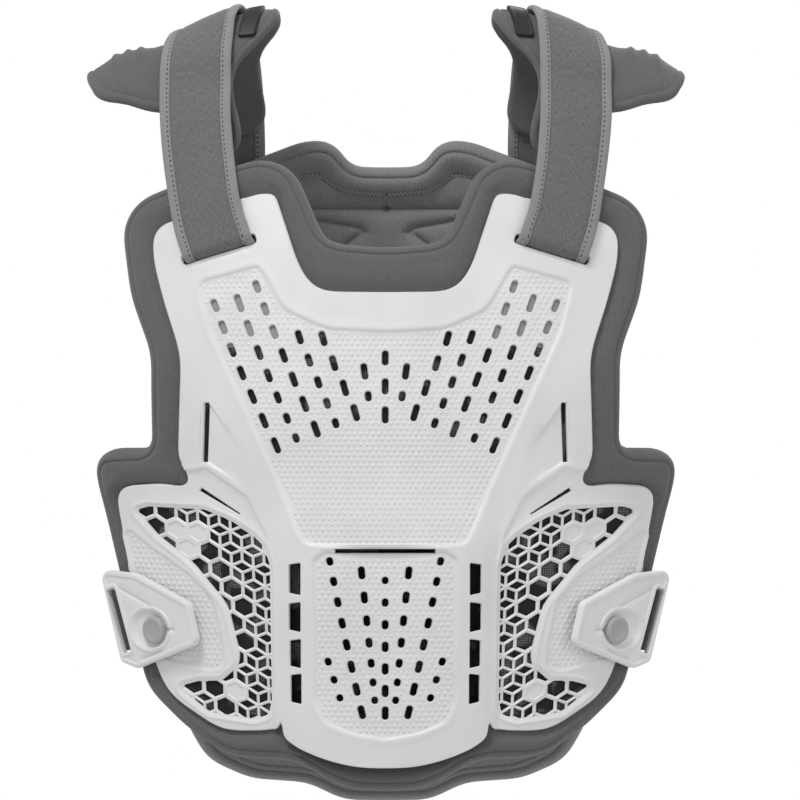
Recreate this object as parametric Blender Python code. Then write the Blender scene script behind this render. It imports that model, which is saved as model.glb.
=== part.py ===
"""Chest protector: moulded front and back shells on foam pads, hung from two shoulder straps.

Metres, +Z up, the chest faces -Y and the wearer's left side is +X.
The origin lies between the shoulders, level with the seat of the two shoulder pads.
Flat patterns are drawn across the chest and down it, then laid on curved body surfaces.
"""
import math

import bmesh
import bpy
from mathutils import Matrix, Vector
from mathutils.geometry import delaunay_2d_cdt

# Body sizes
CHEST_HALF_WIDTH = 0.200
TORSO_LENGTH = 0.540
CHEST_FRONT = 0.122
BACK_FRONT = 0.118
CHEST_TOP_LEAN = 0.040
CHEST_FOOT_LEAN = 0.014
CHEST_WRAP_TOP = 0.050
CHEST_WRAP_WING = 0.085
BACK_TOP_LEAN = 0.020
BACK_FOOT_LEAN = 0.018
BACK_WRAP = 0.060

# Walls and clearances
SHELL_WALL = 0.0030
SHELL_RIM_TURN = 0.0020
SHELL_RIM_WIDTH = 0.0035
SHELL_EDGE_ROUND = 0.0010
LAYER_GAP = 0.0010
BACK_LAYER_GAP = 0.0014
MESH_WALL = 0.0012
PAD_WALL = 0.0120
PAD_EDGE_ROUND = 0.0035
PAD_EDGE_WIDTH = 0.0070
BIB_RISE = 0.0080

# Shoulder pads and straps
SHOULDER_PAD_WALL = 0.0090
SHOULDER_PAD_EDGE_ROUND = 0.0028
SHOULDER_PAD_EDGE_WIDTH = 0.0055
SHOULDER_FRONT_REACH = 0.053
SHOULDER_FRONT_DROP = 0.118
SHOULDER_REAR_REACH = 0.078
SHOULDER_REAR_DROP = 0.092
SHOULDER_ARCH_LENGTH = 0.130
SHOULDER_CROWN_FLAT = 0.85
SHOULDER_CROWN_HEIGHT = 0.036
STRAP_WIDTH = 0.054
STRAP_WALL = 0.0040
STRAP_SEAT_GAP = 0.0012
STRAP_BINDING = 0.006
STRAP_SLOT_HEIGHT = 0.009
STRAP_SLOT_SPARE = 0.0030
BADGE_WALL = 0.0015

# Vents
VENT_WIDTH = 0.0046
HEX_RADIUS = 0.0068

# Side buckles and waist straps
BUCKLE_LENGTH = 0.094
BUCKLE_WALL = 0.0050
BUCKLE_DISH_DEPTH = 0.0028
BUCKLE_DISH_SLOPE = 0.0030
BUCKLE_STANDOFF = 0.0008
KNOB_RADIUS = 0.0103
KNOB_HEIGHT = 0.0042
KNOB_TAPER = 0.0010
KNOB_SEAT_GAP = 0.0004
WAIST_STRAP_WIDTH = 0.046
WAIST_STRAP_WALL = 0.0022
WAIST_SLOT_WIDTH = 0.0085
WAIST_SLOT_SPARE = 0.0045
WAIST_SEAT_GAP = 0.0013

# Mesh fineness
SHELL_STEP = 0.0285
PAD_STEP = 0.031
SMALL_STEP = 0.022
ARC_STEP = math.radians(34)

# Corner tables, from the middle at the foot round one side to the middle at the top.
# Columns: across in half widths, down in torso lengths, corner radius in half widths
SHELL_CORNERS = [
    (0.000, 0.960, 0.000), (0.140, 0.960, 0.220), (0.361, 0.925, 0.050),
    (0.373, 0.895, 0.011), (0.386, 0.914, 0.033), (0.599, 0.918, 0.146),
    (0.804, 0.872, 0.146), (0.854, 0.832, 0.109), (0.955, 0.708, 0.220),
    (1.005, 0.610, 0.146), (1.004, 0.592, 0.033), (0.819, 0.586, 0.109),
    (0.715, 0.593, 0.018), (0.715, 0.572, 0.029), (0.759, 0.559, 0.044),
    (0.744, 0.413, 0.220), (0.813, 0.337, 0.220), (0.855, 0.280, 0.146),
    (0.855, 0.237, 0.044), (0.408, 0.188, 0.033), (0.318, 0.288, 0.073),
    (0.259, 0.327, 0.102), (0.000, 0.328, 0.000),
]
PAD_CORNERS = [
    (0.000, 0.993, 0.000), (0.140, 0.991, 0.220), (0.339, 0.952, 0.044),
    (0.576, 0.952, 0.146), (0.739, 0.915, 0.073), (0.890, 0.866, 0.109),
    (0.913, 0.834, 0.109), (1.032, 0.665, 0.220), (1.092, 0.580, 0.109),
    (1.088, 0.541, 0.051), (0.863, 0.535, 0.022), (0.862, 0.407, 0.146),
    (0.943, 0.330, 0.220), (0.982, 0.233, 0.109), (0.918, 0.198, 0.073),
    (0.767, 0.177, 0.109), (0.448, 0.143, 0.109), (0.342, 0.162, 0.066),
    (0.224, 0.262, 0.073), (0.000, 0.269, 0.000),
]
BACK_PAD_CORNERS = [
    (0.000, 1.052, 0.000), (0.169, 1.051, 0.109), (0.314, 1.025, 0.060),
    (0.540, 1.017, 0.109), (0.706, 0.988, 0.109), (0.779, 0.940, 0.146),
    (0.930, 0.800, 0.220), (1.030, 0.660, 0.220), (1.050, 0.560, 0.080),
    (0.870, 0.530, 0.040), (0.860, 0.400, 0.220), (0.930, 0.280, 0.220),
    (0.940, 0.200, 0.100), (0.740, 0.155, 0.109), (0.520, 0.123, 0.146),
    (0.325, 0.095, 0.073), (0.216, 0.095, 0.051), (0.145, 0.132, 0.051),
    (0.000, 0.133, 0.000),
]
BACK_SHELL_CORNERS = [
    (0.000, 0.990, 0.000), (0.300, 0.975, 0.220), (0.640, 0.940, 0.146),
    (0.820, 0.800, 0.220), (0.920, 0.660, 0.146), (0.920, 0.590, 0.060),
    (0.765, 0.560, 0.060), (0.740, 0.400, 0.220), (0.840, 0.290, 0.146),
    (0.830, 0.225, 0.060), (0.450, 0.165, 0.073), (0.300, 0.165, 0.110),
    (0.130, 0.200, 0.110), (0.000, 0.200, 0.000),
]
MESH_CORNERS = [
    (0.000, 0.935, 0.000), (0.300, 0.900, 0.060), (0.600, 0.892, 0.100),
    (0.765, 0.850, 0.080), (0.900, 0.700, 0.100), (0.940, 0.615, 0.040),
    (0.640, 0.610, 0.030), (0.690, 0.440, 0.100), (0.720, 0.322, 0.040),
    (0.470, 0.306, 0.060), (0.270, 0.350, 0.110), (0.000, 0.352, 0.000),
]

# Rows of oblong vents in the upper panel, each row on one side.
# Columns: first vent across and down, last vent across and down, bow across and down,
# number of vents, first and last length in half widths, lean in degrees
UPPER_VENT_ROWS = [
    (0.621, 0.345, 0.396, 0.533, 0.013, -0.003, 7, 0.048, 0.060, 22),
    (0.532, 0.342, 0.323, 0.523, -0.004, 0.007, 7, 0.066, 0.034, 20),
    (0.467, 0.320, 0.251, 0.511, 0.010, -0.003, 7, 0.046, 0.062, 20),
    (0.311, 0.388, 0.179, 0.503, -0.003, 0.003, 5, 0.052, 0.036, 18),
    (0.225, 0.390, 0.108, 0.489, 0.000, 0.000, 4, 0.055, 0.062, 16),
    (0.075, 0.434, 0.061, 0.467, 0.000, 0.000, 2, 0.058, 0.036, 8),
]
BIB_VENT_ROWS = [
    (0.195, 0.686, 0.083, 0.886, 0.005, -0.004, 8, 0.036, 0.048, 13),
]
# The middle row of upper vents: first and last down, number, first and last length
MIDDLE_VENT_ROW = (0.416, 0.492, 3, 0.051, 0.058)

# Ridge vents beside the bib. Columns: top and foot down, outer edge and inner edge across
RIDGE_VENTS = [
    (0.693, 0.727, 0.336, 0.300), (0.745, 0.777, 0.336, 0.300),
    (0.793, 0.824, 0.334, 0.299), (0.839, 0.872, 0.332, 0.298),
]
RIDGE_VENT_SLANT = 0.006
# Open cells of the wing's honeycomb. Columns: across and down
OPEN_CELLS = [
    (0.840, 0.639), (0.771, 0.648), (0.741, 0.674), (0.657, 0.678), (0.614, 0.702),
    (0.567, 0.727), (0.524, 0.749), (0.516, 0.795), (0.517, 0.837), (0.556, 0.857),
    (0.590, 0.880), (0.662, 0.866),
]
CELL_TURN = math.radians(6)
# Narrow slits. Columns: across and down of each end, width in half widths
SIDE_SLITS = [
    (0.648, 0.476, 0.656, 0.556, 0.017),
    (0.676, 0.593, 0.530, 0.625, 0.012),
]
BIB_SLIT = (0.176, 0.671, 0.014)
BIB_FOOT_LINE = [(0.385, 0.880), (0.400, 0.780), (0.402, 0.690), (0.372, 0.625)]
BIB_CREST_LINE = [(0.278, 0.915), (0.276, 0.800), (0.276, 0.690), (0.296, 0.640)]

# Strap slots. Columns: across and down of the middle, tilt in degrees
FRONT_SLOT = (0.605, 0.271, 16.5)
REAR_SLOT = (0.605, 0.262, 8.0)

# Shoulder pad outline. Columns: across in half widths, turn over the shoulder from -1 at the
# front to +1 at the rear, corner radius in half widths
SHOULDER_PAD_CORNERS = [
    (0.402, -0.240, 0.050), (0.470, -0.440, 0.050), (0.582, -0.560, 0.050),
    (0.556, -0.780, 0.100), (0.500, -0.960, 0.030), (0.740, -0.960, 0.060),
    (0.760, -0.660, 0.060), (0.860, -0.630, 0.100), (1.080, -0.470, 0.100),
    (1.135, -0.150, 0.100), (1.120, 0.180, 0.120), (0.960, 0.400, 0.200),
    (0.760, 0.500, 0.080), (0.740, 0.950, 0.060), (0.455, 0.950, 0.030),
    (0.505, 0.500, 0.100), (0.402, 0.260, 0.050),
]
# Crown of the shoulder pads. Columns: across in half widths, height above the seat in crown heights
SHOULDER_CROWN = [
    (0.400, 0.944), (0.580, 1.000), (0.720, 0.694), (0.830, 0.347), (1.000, 0.194),
    (1.135, -0.278),
]
BADGE_CORNERS = [
    (0.452, -0.050, 0.012), (0.520, -0.050, 0.012), (0.545, -0.330, 0.012),
    (0.490, -0.350, 0.012),
]
# Strap over the shoulder. Columns: turn over the shoulder, across of the strap's middle
STRAP_OVER_SHOULDER = [
    (-0.560, 0.703), (-0.450, 0.701), (-0.350, 0.697), (-0.260, 0.691), (-0.180, 0.683),
    (-0.110, 0.672), (-0.050, 0.664), (0.000, 0.656), (0.060, 0.650), (0.140, 0.642),
    (0.240, 0.634), (0.360, 0.626), (0.500, 0.618), (0.650, 0.613), (0.800, 0.610), (0.970, 0.608),
]
# Strap down the chest and down the back. Columns: across and down of the strap's middle
STRAP_DOWN_CHEST = [(0.660, 0.195), (0.6385, 0.233)]
STRAP_DOWN_BACK = [(0.606, 0.170), (0.605, 0.215)]

# A strap's fold into its slot, in slot heights. Columns: way below the slot's middle, drop below the seat
STRAP_FOLD = [(-0.85, 0.00), (-0.24, 0.06)]
STRAP_FOLD_LIP = (-0.03, -0.10)

# Buckle outline and openings, in buckle lengths. Columns: outwards, down, corner radius
BUCKLE_MIDDLE = (0.853, 0.787)
BUCKLE_CORNERS = [
    (0.497, -0.468, 0.075), (0.130, -0.448, 0.110), (-0.418, -0.243, 0.065),
    (-0.505, 0.070, 0.065), (0.135, 0.292, 0.085), (0.290, 0.245, 0.065),
]
BUCKLE_DISH = (-0.006, -0.022, 0.213, 0.164)
BUCKLE_KNOB = (-0.055, -0.016)
BUCKLE_SLOT = (0.326, -0.072, 18.3)
# Waist strap from the buckle to the back shell. Columns: across in half widths, depth from the front
# in shares of the way from the chest to the back
WAIST_FREE_RUN = [(0.996, 0.417), (0.992, 0.558), (0.980, 0.667)]
WAIST_ON_BACK = [0.940, 0.895, 0.850, 0.805, 0.760, 0.715]
WAIST_DOWN = 0.780

SHELL_WHITE = (0.78, 0.78, 0.77)
PAD_GREY = (0.14, 0.142, 0.135)
STRAP_GREY = (0.17, 0.172, 0.165)
MESH_BLACK = (0.012, 0.012, 0.012)
BADGE_BLACK = (0.03, 0.03, 0.03)
KNOB_GREY = (0.38, 0.38, 0.37)


def smooth_step(share):
    """A ramp from 0 to 1 with level ends."""
    held = min(1.0, max(0.0, share))
    return held * held * (3.0 - 2.0 * held)


def chest_point(x, down):
    """The chest shell's outer surface."""
    side = abs(x) / CHEST_HALF_WIDTH
    share = down / TORSO_LENGTH
    crest = 0.593
    if share < crest:
        lean = CHEST_TOP_LEAN * ((crest - share) / 0.4815) ** 2
    else:
        lean = CHEST_FOOT_LEAN * ((share - crest) / 0.463) ** 2
    wrap = CHEST_WRAP_TOP + (CHEST_WRAP_WING - CHEST_WRAP_TOP) * smooth_step((share - 0.407) / 0.26)
    return Vector((x, -CHEST_FRONT + lean + wrap * side ** 2.3, -down))


def back_point(x, down):
    """The back shell's outer surface."""
    side = abs(x) / CHEST_HALF_WIDTH
    share = down / TORSO_LENGTH
    crest = 0.370
    if share < crest:
        lean = BACK_TOP_LEAN * ((crest - share) / 0.26) ** 2
    else:
        lean = BACK_FOOT_LEAN * ((share - crest) / 0.698) ** 2
    return Vector((x, BACK_FRONT - lean - BACK_WRAP * side ** 2.2, -down))


def crown_height(share):
    """Height of the shoulder pads' crown, eased between the rows of its table."""
    rows = SHOULDER_CROWN
    if share <= rows[0][0]:
        return rows[0][1]
    for (start, low), (end, high) in zip(rows, rows[1:]):
        if share <= end:
            return low + (high - low) * (share - start) / (end - start)
    return rows[-1][1]


def shoulder_point(x, along):
    """The shoulder pads' outer surface, with along measured over the shoulder from the crown."""
    turn = along / SHOULDER_ARCH_LENGTH * math.pi / 2
    if turn < 0:
        reach, drop = -SHOULDER_FRONT_REACH, SHOULDER_FRONT_DROP
    else:
        reach, drop = SHOULDER_REAR_REACH, SHOULDER_REAR_DROP
    depth = reach * math.sin(abs(turn)) ** SHOULDER_CROWN_FLAT
    share = abs(x) / CHEST_HALF_WIDTH
    spread = 0.030
    mean = (crown_height(share - spread) + crown_height(share) + crown_height(share + spread)) / 3
    height = mean * SHOULDER_CROWN_HEIGHT
    return Vector((x, depth, height - drop * (1 - math.cos(turn))))


class Surface:
    """A curved surface that flat patterns are laid on, with its outward side."""

    def __init__(self, point, outward):
        self.point = point
        self.outward = outward

    def normal(self, x, down):
        nudge = 0.0005
        across = self.point(x + nudge, down) - self.point(x - nudge, down)
        along = self.point(x, down + nudge) - self.point(x, down - nudge)
        return across.cross(along).normalized() * self.outward

    def lift(self, x, down, offset):
        return self.point(x, down) + self.normal(x, down) * offset


CHEST = Surface(chest_point, -1)
BACK = Surface(back_point, 1)
SHOULDER = Surface(shoulder_point, 1)


def make_material(name, colour, roughness):
    material = bpy.data.materials.new(name)
    material.use_nodes = True
    shader = material.node_tree.nodes["Principled BSDF"]
    shader.inputs["Base Color"].default_value = (*colour, 1.0)
    shader.inputs["Roughness"].default_value = roughness
    shader.inputs["Metallic"].default_value = 0.0
    return material


def place(rows, length):
    """A corner table in metres: across and radius by the half width, down by a length."""
    return [(row[0] * CHEST_HALF_WIDTH, row[1] * length, row[2] * CHEST_HALF_WIDTH) for row in rows]


def rounded(corners, closed=True):
    """Points of a path whose corners are arcs."""
    path = []
    count = len(corners)
    for index, (x, y, radius) in enumerate(corners):
        corner = Vector((x, y))
        if radius == 0 or (not closed and index in (0, count - 1)):
            path.append(corner)
            continue
        before = Vector(corners[index - 1][:2]) - corner
        after = Vector(corners[(index + 1) % count][:2]) - corner
        half = before.angle(after) / 2
        turn = math.pi - 2 * half
        cut = radius / math.tan(half)
        limit = 0.47 * min(before.length, after.length)
        if cut > limit:
            radius *= limit / cut
            cut = limit
        middle = corner + (before.normalized() + after.normalized()).normalized() * radius / math.sin(half)
        start = corner + before.normalized() * cut - middle
        end = corner + after.normalized() * cut - middle
        sweep = math.copysign(turn, start.cross(end))
        steps = max(1, round(turn / ARC_STEP))
        for step in range(steps + 1):
            angle = sweep * step / steps
            path.append(middle + Matrix.Rotation(angle, 2) @ start)
    return path


def mirrored(half):
    """A closed outline from the half of it that runs from the foot to the top."""
    other = [Vector((-point.x, point.y)) for point in reversed(half) if point.x > 1e-6]
    return half + other


def refined(loop, step, closed=True):
    """The same path with no stretch longer than the step."""
    path = []
    last = len(loop) if closed else len(loop) - 1
    for index in range(last):
        start = loop[index]
        end = loop[(index + 1) % len(loop)]
        parts = max(1, math.ceil((end - start).length / step))
        path += [start.lerp(end, part / parts) for part in range(parts)]
    if not closed:
        path.append(loop[-1])
    return path


def area(loop):
    return 0.5 * sum(a.cross(b) for a, b in zip(loop, loop[1:] + loop[:1]))


def inset(loop, distance):
    """The outline moved inwards, each point along the mean of its two edges' normals."""
    inward = math.copysign(distance, area(loop))
    path = []
    for index, point in enumerate(loop):
        before = (point - loop[index - 1]).normalized()
        after = (loop[(index + 1) % len(loop)] - point).normalized()
        normal = Vector((-(before.y + after.y), before.x + after.x))
        if normal.length > 1e-9:
            path.append(point + normal.normalized() * inward)
    return path


def inside(point, loop):
    """Whether a point lies inside a closed outline."""
    crossings = False
    for a, b in zip(loop, loop[1:] + loop[:1]):
        if (a.y > point.y) != (b.y > point.y):
            if point.x < a.x + (point.y - a.y) * (b.x - a.x) / (b.y - a.y):
                crossings = not crossings
    return crossings


def filling_points(outline, holes, taken, step):
    """A staggered grid inside the outline, clear of the holes and of the points taken already."""
    low_x, high_x = min(p.x for p in outline), max(p.x for p in outline)
    low_y, high_y = min(p.y for p in outline), max(p.y for p in outline)
    points = []
    row = 0
    y = low_y + step / 2
    while y < high_y:
        columns = math.ceil((high_x - low_x) / step)
        for column in range(-columns, columns + 1):
            point = Vector(((column + 0.5 * (row % 2)) * step + (low_x + high_x) / 2, y))
            if not inside(point, outline) or any(inside(point, hole) for hole in holes):
                continue
            if min((point - other).length for other in taken) > 0.55 * step:
                points.append(point)
        row += 1
        y += step * 0.87
    return points


def finish_mesh(name, points, faces, material):
    """An object from points and faces, with its faces turned outwards."""
    build = bmesh.new()
    corners = [build.verts.new(point) for point in points]
    for face in faces:
        build.faces.new([corners[index] for index in face])
    bmesh.ops.recalc_face_normals(build, faces=build.faces)
    mesh = bpy.data.meshes.new(name)
    build.to_mesh(mesh)
    build.free()
    mesh.shade_smooth()
    mesh.set_sharp_from_angle(angle=math.radians(35))
    mesh.materials.append(material)
    piece = bpy.data.objects.new(name, mesh)
    bpy.context.collection.objects.link(piece)
    return piece


def sheet(name, surface, outline, material, offsets, step, holes=(), rim=0.0, creases=(), relief=None):
    """A closed wall laid on a surface.

    offsets gives the outer and inner face of the wall, and then both at its edge.
    rim is the width of the rounded edge, and relief raises both faces.
    """
    outer, inner, edge_outer, edge_inner = offsets
    outline = refined(outline, step)
    points = []
    links = []

    def add_path(path, closed=True):
        first = len(points)
        points.extend(path)
        links.extend((first + i, first + i + 1) for i in range(len(path) - 1))
        if closed:
            links.append((len(points) - 1, first))

    add_path(outline)
    edge_count = len(points)
    for hole in holes:
        add_path(hole)
    if rim:
        add_path(inset(outline, rim))
    for crease in creases:
        add_path(refined(crease, step, closed=False), closed=False)
    points += filling_points(outline, holes, points, step)
    result = delaunay_2d_cdt(points, links, [], 0, 1e-7)
    flat, triangles, sources = result[0], result[2], result[3]
    kept = []
    for triangle in triangles:
        middle = sum((flat[index] for index in triangle), Vector((0, 0))) / 3
        if inside(middle, outline) and not any(inside(middle, hole) for hole in holes):
            kept.append(tuple(triangle))
    used = sorted({index for triangle in kept for index in triangle})
    place_of = {index: position for position, index in enumerate(used)}
    count = len(used)
    top = []
    foot = []
    for index in used:
        x, down = flat[index]
        at_edge = any(source < edge_count for source in sources[index])
        raised = relief(x, down) if relief else 0.0
        high = edge_outer if at_edge else (outer(x, down) if callable(outer) else outer)
        top.append(surface.lift(x, down, high + raised))
        foot.append(surface.lift(x, down, (edge_inner if at_edge else inner) + raised))
    faces = []
    uses = {}
    for triangle in kept:
        a, b, c = (place_of[index] for index in triangle)
        faces.append((a, b, c))
        faces.append((c + count, b + count, a + count))
        for pair in ((a, b), (b, c), (c, a)):
            uses[pair] = True
    for a, b in uses:
        if (b, a) not in uses:
            faces.append((b, a, a + count))
            faces.append((b, a + count, b + count))
    return finish_mesh(name, top + foot, faces, material)


def band(name, stations, width, wall, material, binding=0.0):
    """A strap through stations, each a middle and the direction of its width."""
    points = []
    faces = []
    if binding:
        section = [(-0.5, 0, 0), (-0.5, 1, 1), (0.5, -1, 1), (0.5, 0, 0), (0.5, -1, -1), (-0.5, 1, -1)]
    else:
        section = [(-0.5, 0, 1), (0.5, 0, 1), (0.5, 0, -1), (-0.5, 0, -1)]
    size = len(section)
    for index, (middle, across) in enumerate(stations):
        before = stations[max(0, index - 1)][0]
        after = stations[min(len(stations) - 1, index + 1)][0]
        along = (after - before).normalized()
        across = (across - along * across.dot(along)).normalized()
        outward = along.cross(across)
        for share, inwards, side in section:
            points.append(middle + across * (share * width + inwards * binding) + outward * (side * wall / 2))
        if index:
            first = (index - 1) * size
            for corner in range(size):
                other = (corner + 1) % size
                faces.append((first + corner, first + other, first + size + other, first + size + corner))
    faces.append(tuple(range(size - 1, -1, -1)))
    last = (len(stations) - 1) * size
    faces.append(tuple(range(last, last + size)))
    return finish_mesh(name, points, faces, material)


def oblong(x, down, length, width, lean):
    """A vent's outline with blunt ends, its top leaning outwards by lean in degrees."""
    half = length / 2
    shoulder = half - width * 0.3
    shape = [
        (width / 2, -shoulder), (0, -half), (-width / 2, -shoulder),
        (-width / 2, shoulder), (0, half), (width / 2, shoulder),
    ]
    turn = Matrix.Rotation(math.radians(lean), 2)
    return [Vector((x, down)) + turn @ Vector(corner) for corner in shape]


def on_both_sides(hole):
    return [hole, [Vector((-point.x, point.y)) for point in reversed(hole)]]


def vent_row(row):
    """The vents of one row of a vent table, on both sides."""
    first_x, first_down, last_x, last_down, bow_x, bow_down, number, first_length, last_length, lean = row
    holes = []
    for index in range(number):
        share = index / (number - 1)
        bulge = 4 * share * (1 - share)
        x = (first_x + (last_x - first_x) * share + bow_x * bulge) * CHEST_HALF_WIDTH
        down = (first_down + (last_down - first_down) * share + bow_down * bulge) * TORSO_LENGTH
        length = (first_length + (last_length - first_length) * share) * CHEST_HALF_WIDTH
        holes += on_both_sides(oblong(x, down, max(length, 1.3 * VENT_WIDTH), VENT_WIDTH, lean))
    return holes


def middle_vents():
    first_down, last_down, number, first_length, last_length = MIDDLE_VENT_ROW
    holes = []
    for index in range(number):
        share = index / (number - 1)
        down = (first_down + (last_down - first_down) * share) * TORSO_LENGTH
        length = (first_length + (last_length - first_length) * share) * CHEST_HALF_WIDTH
        holes.append(oblong(0, down, length, VENT_WIDTH, 0))
    return holes


def ridge_vents():
    """The slanted openings in the ridge on each side of the bib."""
    holes = []
    for top, foot, outer, inner in RIDGE_VENTS:
        corners = [
            (outer, top + RIDGE_VENT_SLANT), (inner, top),
            (inner, foot), (outer, foot - RIDGE_VENT_SLANT),
        ]
        hole = [Vector((x * CHEST_HALF_WIDTH, down * TORSO_LENGTH)) for x, down in corners]
        holes += on_both_sides(hole)
    return holes


def honeycomb_cells():
    holes = []
    for across, down in OPEN_CELLS:
        middle = Vector((across * CHEST_HALF_WIDTH, down * TORSO_LENGTH))
        cell = []
        for corner in range(6):
            angle = CELL_TURN + math.pi / 2 + corner * math.pi / 3
            cell.append(middle + HEX_RADIUS * Vector((math.cos(angle), math.sin(angle))))
        holes += on_both_sides(cell)
    return holes


def slits():
    """The long narrow openings beside the chest panel and above the bib."""
    holes = []
    for x, down, end_x, end_down, width in SIDE_SLITS:
        start = Vector((x * CHEST_HALF_WIDTH, down * TORSO_LENGTH))
        end = Vector((end_x * CHEST_HALF_WIDTH, end_down * TORSO_LENGTH))
        side = Vector((start.y - end.y, end.x - start.x)).normalized() * width * CHEST_HALF_WIDTH / 2
        holes += on_both_sides([start + side, start - side, end - side, end + side])
    across, down, width = BIB_SLIT
    half = across * CHEST_HALF_WIDTH
    height = width * CHEST_HALF_WIDTH / 2
    level = down * TORSO_LENGTH
    holes.append([Vector(c) for c in [(-half, level - height), (half, level - height),
                                      (half, level + height), (-half, level + height)]])
    return holes


def slot_frame(slot):
    """A strap slot's middle, and its directions along and across the slot, on the +X side."""
    across, down, tilt = slot
    angle = math.radians(tilt)
    middle = Vector((across * CHEST_HALF_WIDTH, down * TORSO_LENGTH))
    return middle, Vector((math.cos(angle), math.sin(angle))), Vector((-math.sin(angle), math.cos(angle)))


def strap_slots(slot):
    middle, along, across = slot_frame(slot)
    half_length = STRAP_WIDTH / 2 + STRAP_SLOT_SPARE
    half_height = STRAP_SLOT_HEIGHT / 2
    cut = STRAP_SLOT_HEIGHT / 4
    shape = [
        (half_length, -half_height + cut), (half_length - cut, -half_height), (0, -half_height),
        (-half_length + cut, -half_height), (-half_length, -half_height + cut),
        (-half_length, half_height - cut), (-half_length + cut, half_height), (0, half_height),
        (half_length - cut, half_height), (half_length, half_height - cut),
    ]
    return on_both_sides([middle + along * a + across * b for a, b in shape])


def bib_relief(x, down):
    """How far the bib stands proud of the wings."""
    side = smooth_step((0.400 - abs(x) / CHEST_HALF_WIDTH) / 0.122)
    start = smooth_step((down / TORSO_LENGTH - 0.560) / 0.110)
    return BIB_RISE * side * start


def outline_of(rows):
    return mirrored(rounded(place(rows, TORSO_LENGTH), closed=False))


def line_on_both_sides(rows):
    line = [Vector((x * CHEST_HALF_WIDTH, down * TORSO_LENGTH)) for x, down in rows]
    return [line, [Vector((-point.x, point.y)) for point in line]]


def make_front_shell(material):
    holes = [hole for row in UPPER_VENT_ROWS + BIB_VENT_ROWS for hole in vent_row(row)]
    holes += middle_vents() + ridge_vents() + honeycomb_cells() + slits() + strap_slots(FRONT_SLOT)
    creases = line_on_both_sides(BIB_FOOT_LINE) + line_on_both_sides(BIB_CREST_LINE)
    offsets = (0.0, -SHELL_WALL, -SHELL_EDGE_ROUND, -SHELL_WALL - SHELL_RIM_TURN)
    sheet("front_shell", CHEST, outline_of(SHELL_CORNERS), material, offsets, SHELL_STEP,
          holes=holes, rim=SHELL_RIM_WIDTH, creases=creases, relief=bib_relief)


def make_vent_mesh(material):
    outer = -SHELL_WALL - LAYER_GAP
    inner = outer - MESH_WALL
    sheet("vent_mesh", CHEST, outline_of(MESH_CORNERS), material, (outer, inner, outer, inner), SHELL_STEP)


def pad_offsets(outer):
    inner = outer - PAD_WALL
    return (outer, inner, outer - PAD_EDGE_ROUND, inner + PAD_EDGE_ROUND)


def make_front_pad(material):
    outer = -SHELL_WALL - MESH_WALL - 2 * LAYER_GAP
    sheet("front_pad", CHEST, outline_of(PAD_CORNERS), material, pad_offsets(outer), PAD_STEP,
          rim=PAD_EDGE_WIDTH)


def make_back_pad(material):
    outer = -SHELL_WALL - BACK_LAYER_GAP
    sheet("back_pad", BACK, outline_of(BACK_PAD_CORNERS), material, pad_offsets(outer), PAD_STEP,
          rim=PAD_EDGE_WIDTH)


def make_back_shell(material):
    offsets = (0.0, -SHELL_WALL, -SHELL_EDGE_ROUND, -SHELL_WALL)
    sheet("back_shell", BACK, outline_of(BACK_SHELL_CORNERS), material, offsets, PAD_STEP,
          holes=strap_slots(REAR_SLOT), rim=SHELL_RIM_WIDTH)


def shoulder_outline(rows, side):
    corners = place(rows, SHOULDER_ARCH_LENGTH)
    path = rounded(corners)
    return [Vector((point.x * side, point.y)) for point in path]


def make_shoulder(side, word, pad_material, strap_material, badge_material):
    """One shoulder pad with its badge, and the strap that runs over it from chest to back."""
    edge = SHOULDER_PAD_EDGE_ROUND
    offsets = (0.0, -SHOULDER_PAD_WALL, -edge, -SHOULDER_PAD_WALL + edge)
    sheet("shoulder_pad_" + word, SHOULDER, shoulder_outline(SHOULDER_PAD_CORNERS, side), pad_material,
          offsets, SMALL_STEP, rim=SHOULDER_PAD_EDGE_WIDTH)
    low, high = STRAP_SEAT_GAP, STRAP_SEAT_GAP + BADGE_WALL
    sheet("shoulder_badge_" + word, SHOULDER, shoulder_outline(BADGE_CORNERS, side), badge_material,
          (high, low, high, low), SMALL_STEP)
    band("shoulder_strap_" + word, strap_stations(side), STRAP_WIDTH, STRAP_WALL, strap_material,
         binding=STRAP_BINDING)


def strap_stations(side):
    """The strap's middle line from the chest slot over the shoulder to the back slot."""
    seat = STRAP_SEAT_GAP + STRAP_WALL / 2

    def station(surface, x, down, offset, slope):
        middle = surface.lift(x * side, down, offset)
        tip = surface.lift((x + 0.01 * math.cos(slope)) * side, down + 0.01 * math.sin(slope), offset)
        return middle, (tip - middle) * side

    def slot_end(surface, slot, behind):
        middle, along, across = slot_frame(slot)
        angle = math.radians(slot[2])
        bend = STRAP_SLOT_HEIGHT
        path = [(shift * bend, seat - drop * bend) for shift, drop in STRAP_FOLD]
        path += [(STRAP_FOLD_LIP[0] * bend, STRAP_FOLD_LIP[1] * bend), (0, -behind)]
        return [station(surface, *(middle + across * shift), offset, angle) for shift, offset in path]

    front_end = slot_end(CHEST, FRONT_SLOT, SHELL_WALL + MESH_WALL + LAYER_GAP)
    rear_end = slot_end(BACK, REAR_SLOT, SHELL_WALL)
    stations = front_end[::-1]
    for across, down in reversed(STRAP_DOWN_CHEST):
        tilt = math.radians(FRONT_SLOT[2]) * (down - 0.17) / (FRONT_SLOT[1] - 0.17)
        stations.append(station(CHEST, across * CHEST_HALF_WIDTH, down * TORSO_LENGTH, seat, tilt))
    for turn, across in STRAP_OVER_SHOULDER:
        stations.append(station(SHOULDER, across * CHEST_HALF_WIDTH, turn * SHOULDER_ARCH_LENGTH, seat, 0))
    for across, down in STRAP_DOWN_BACK:
        stations.append(station(BACK, across * CHEST_HALF_WIDTH, down * TORSO_LENGTH, seat, 0))
    return stations + rear_end


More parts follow.
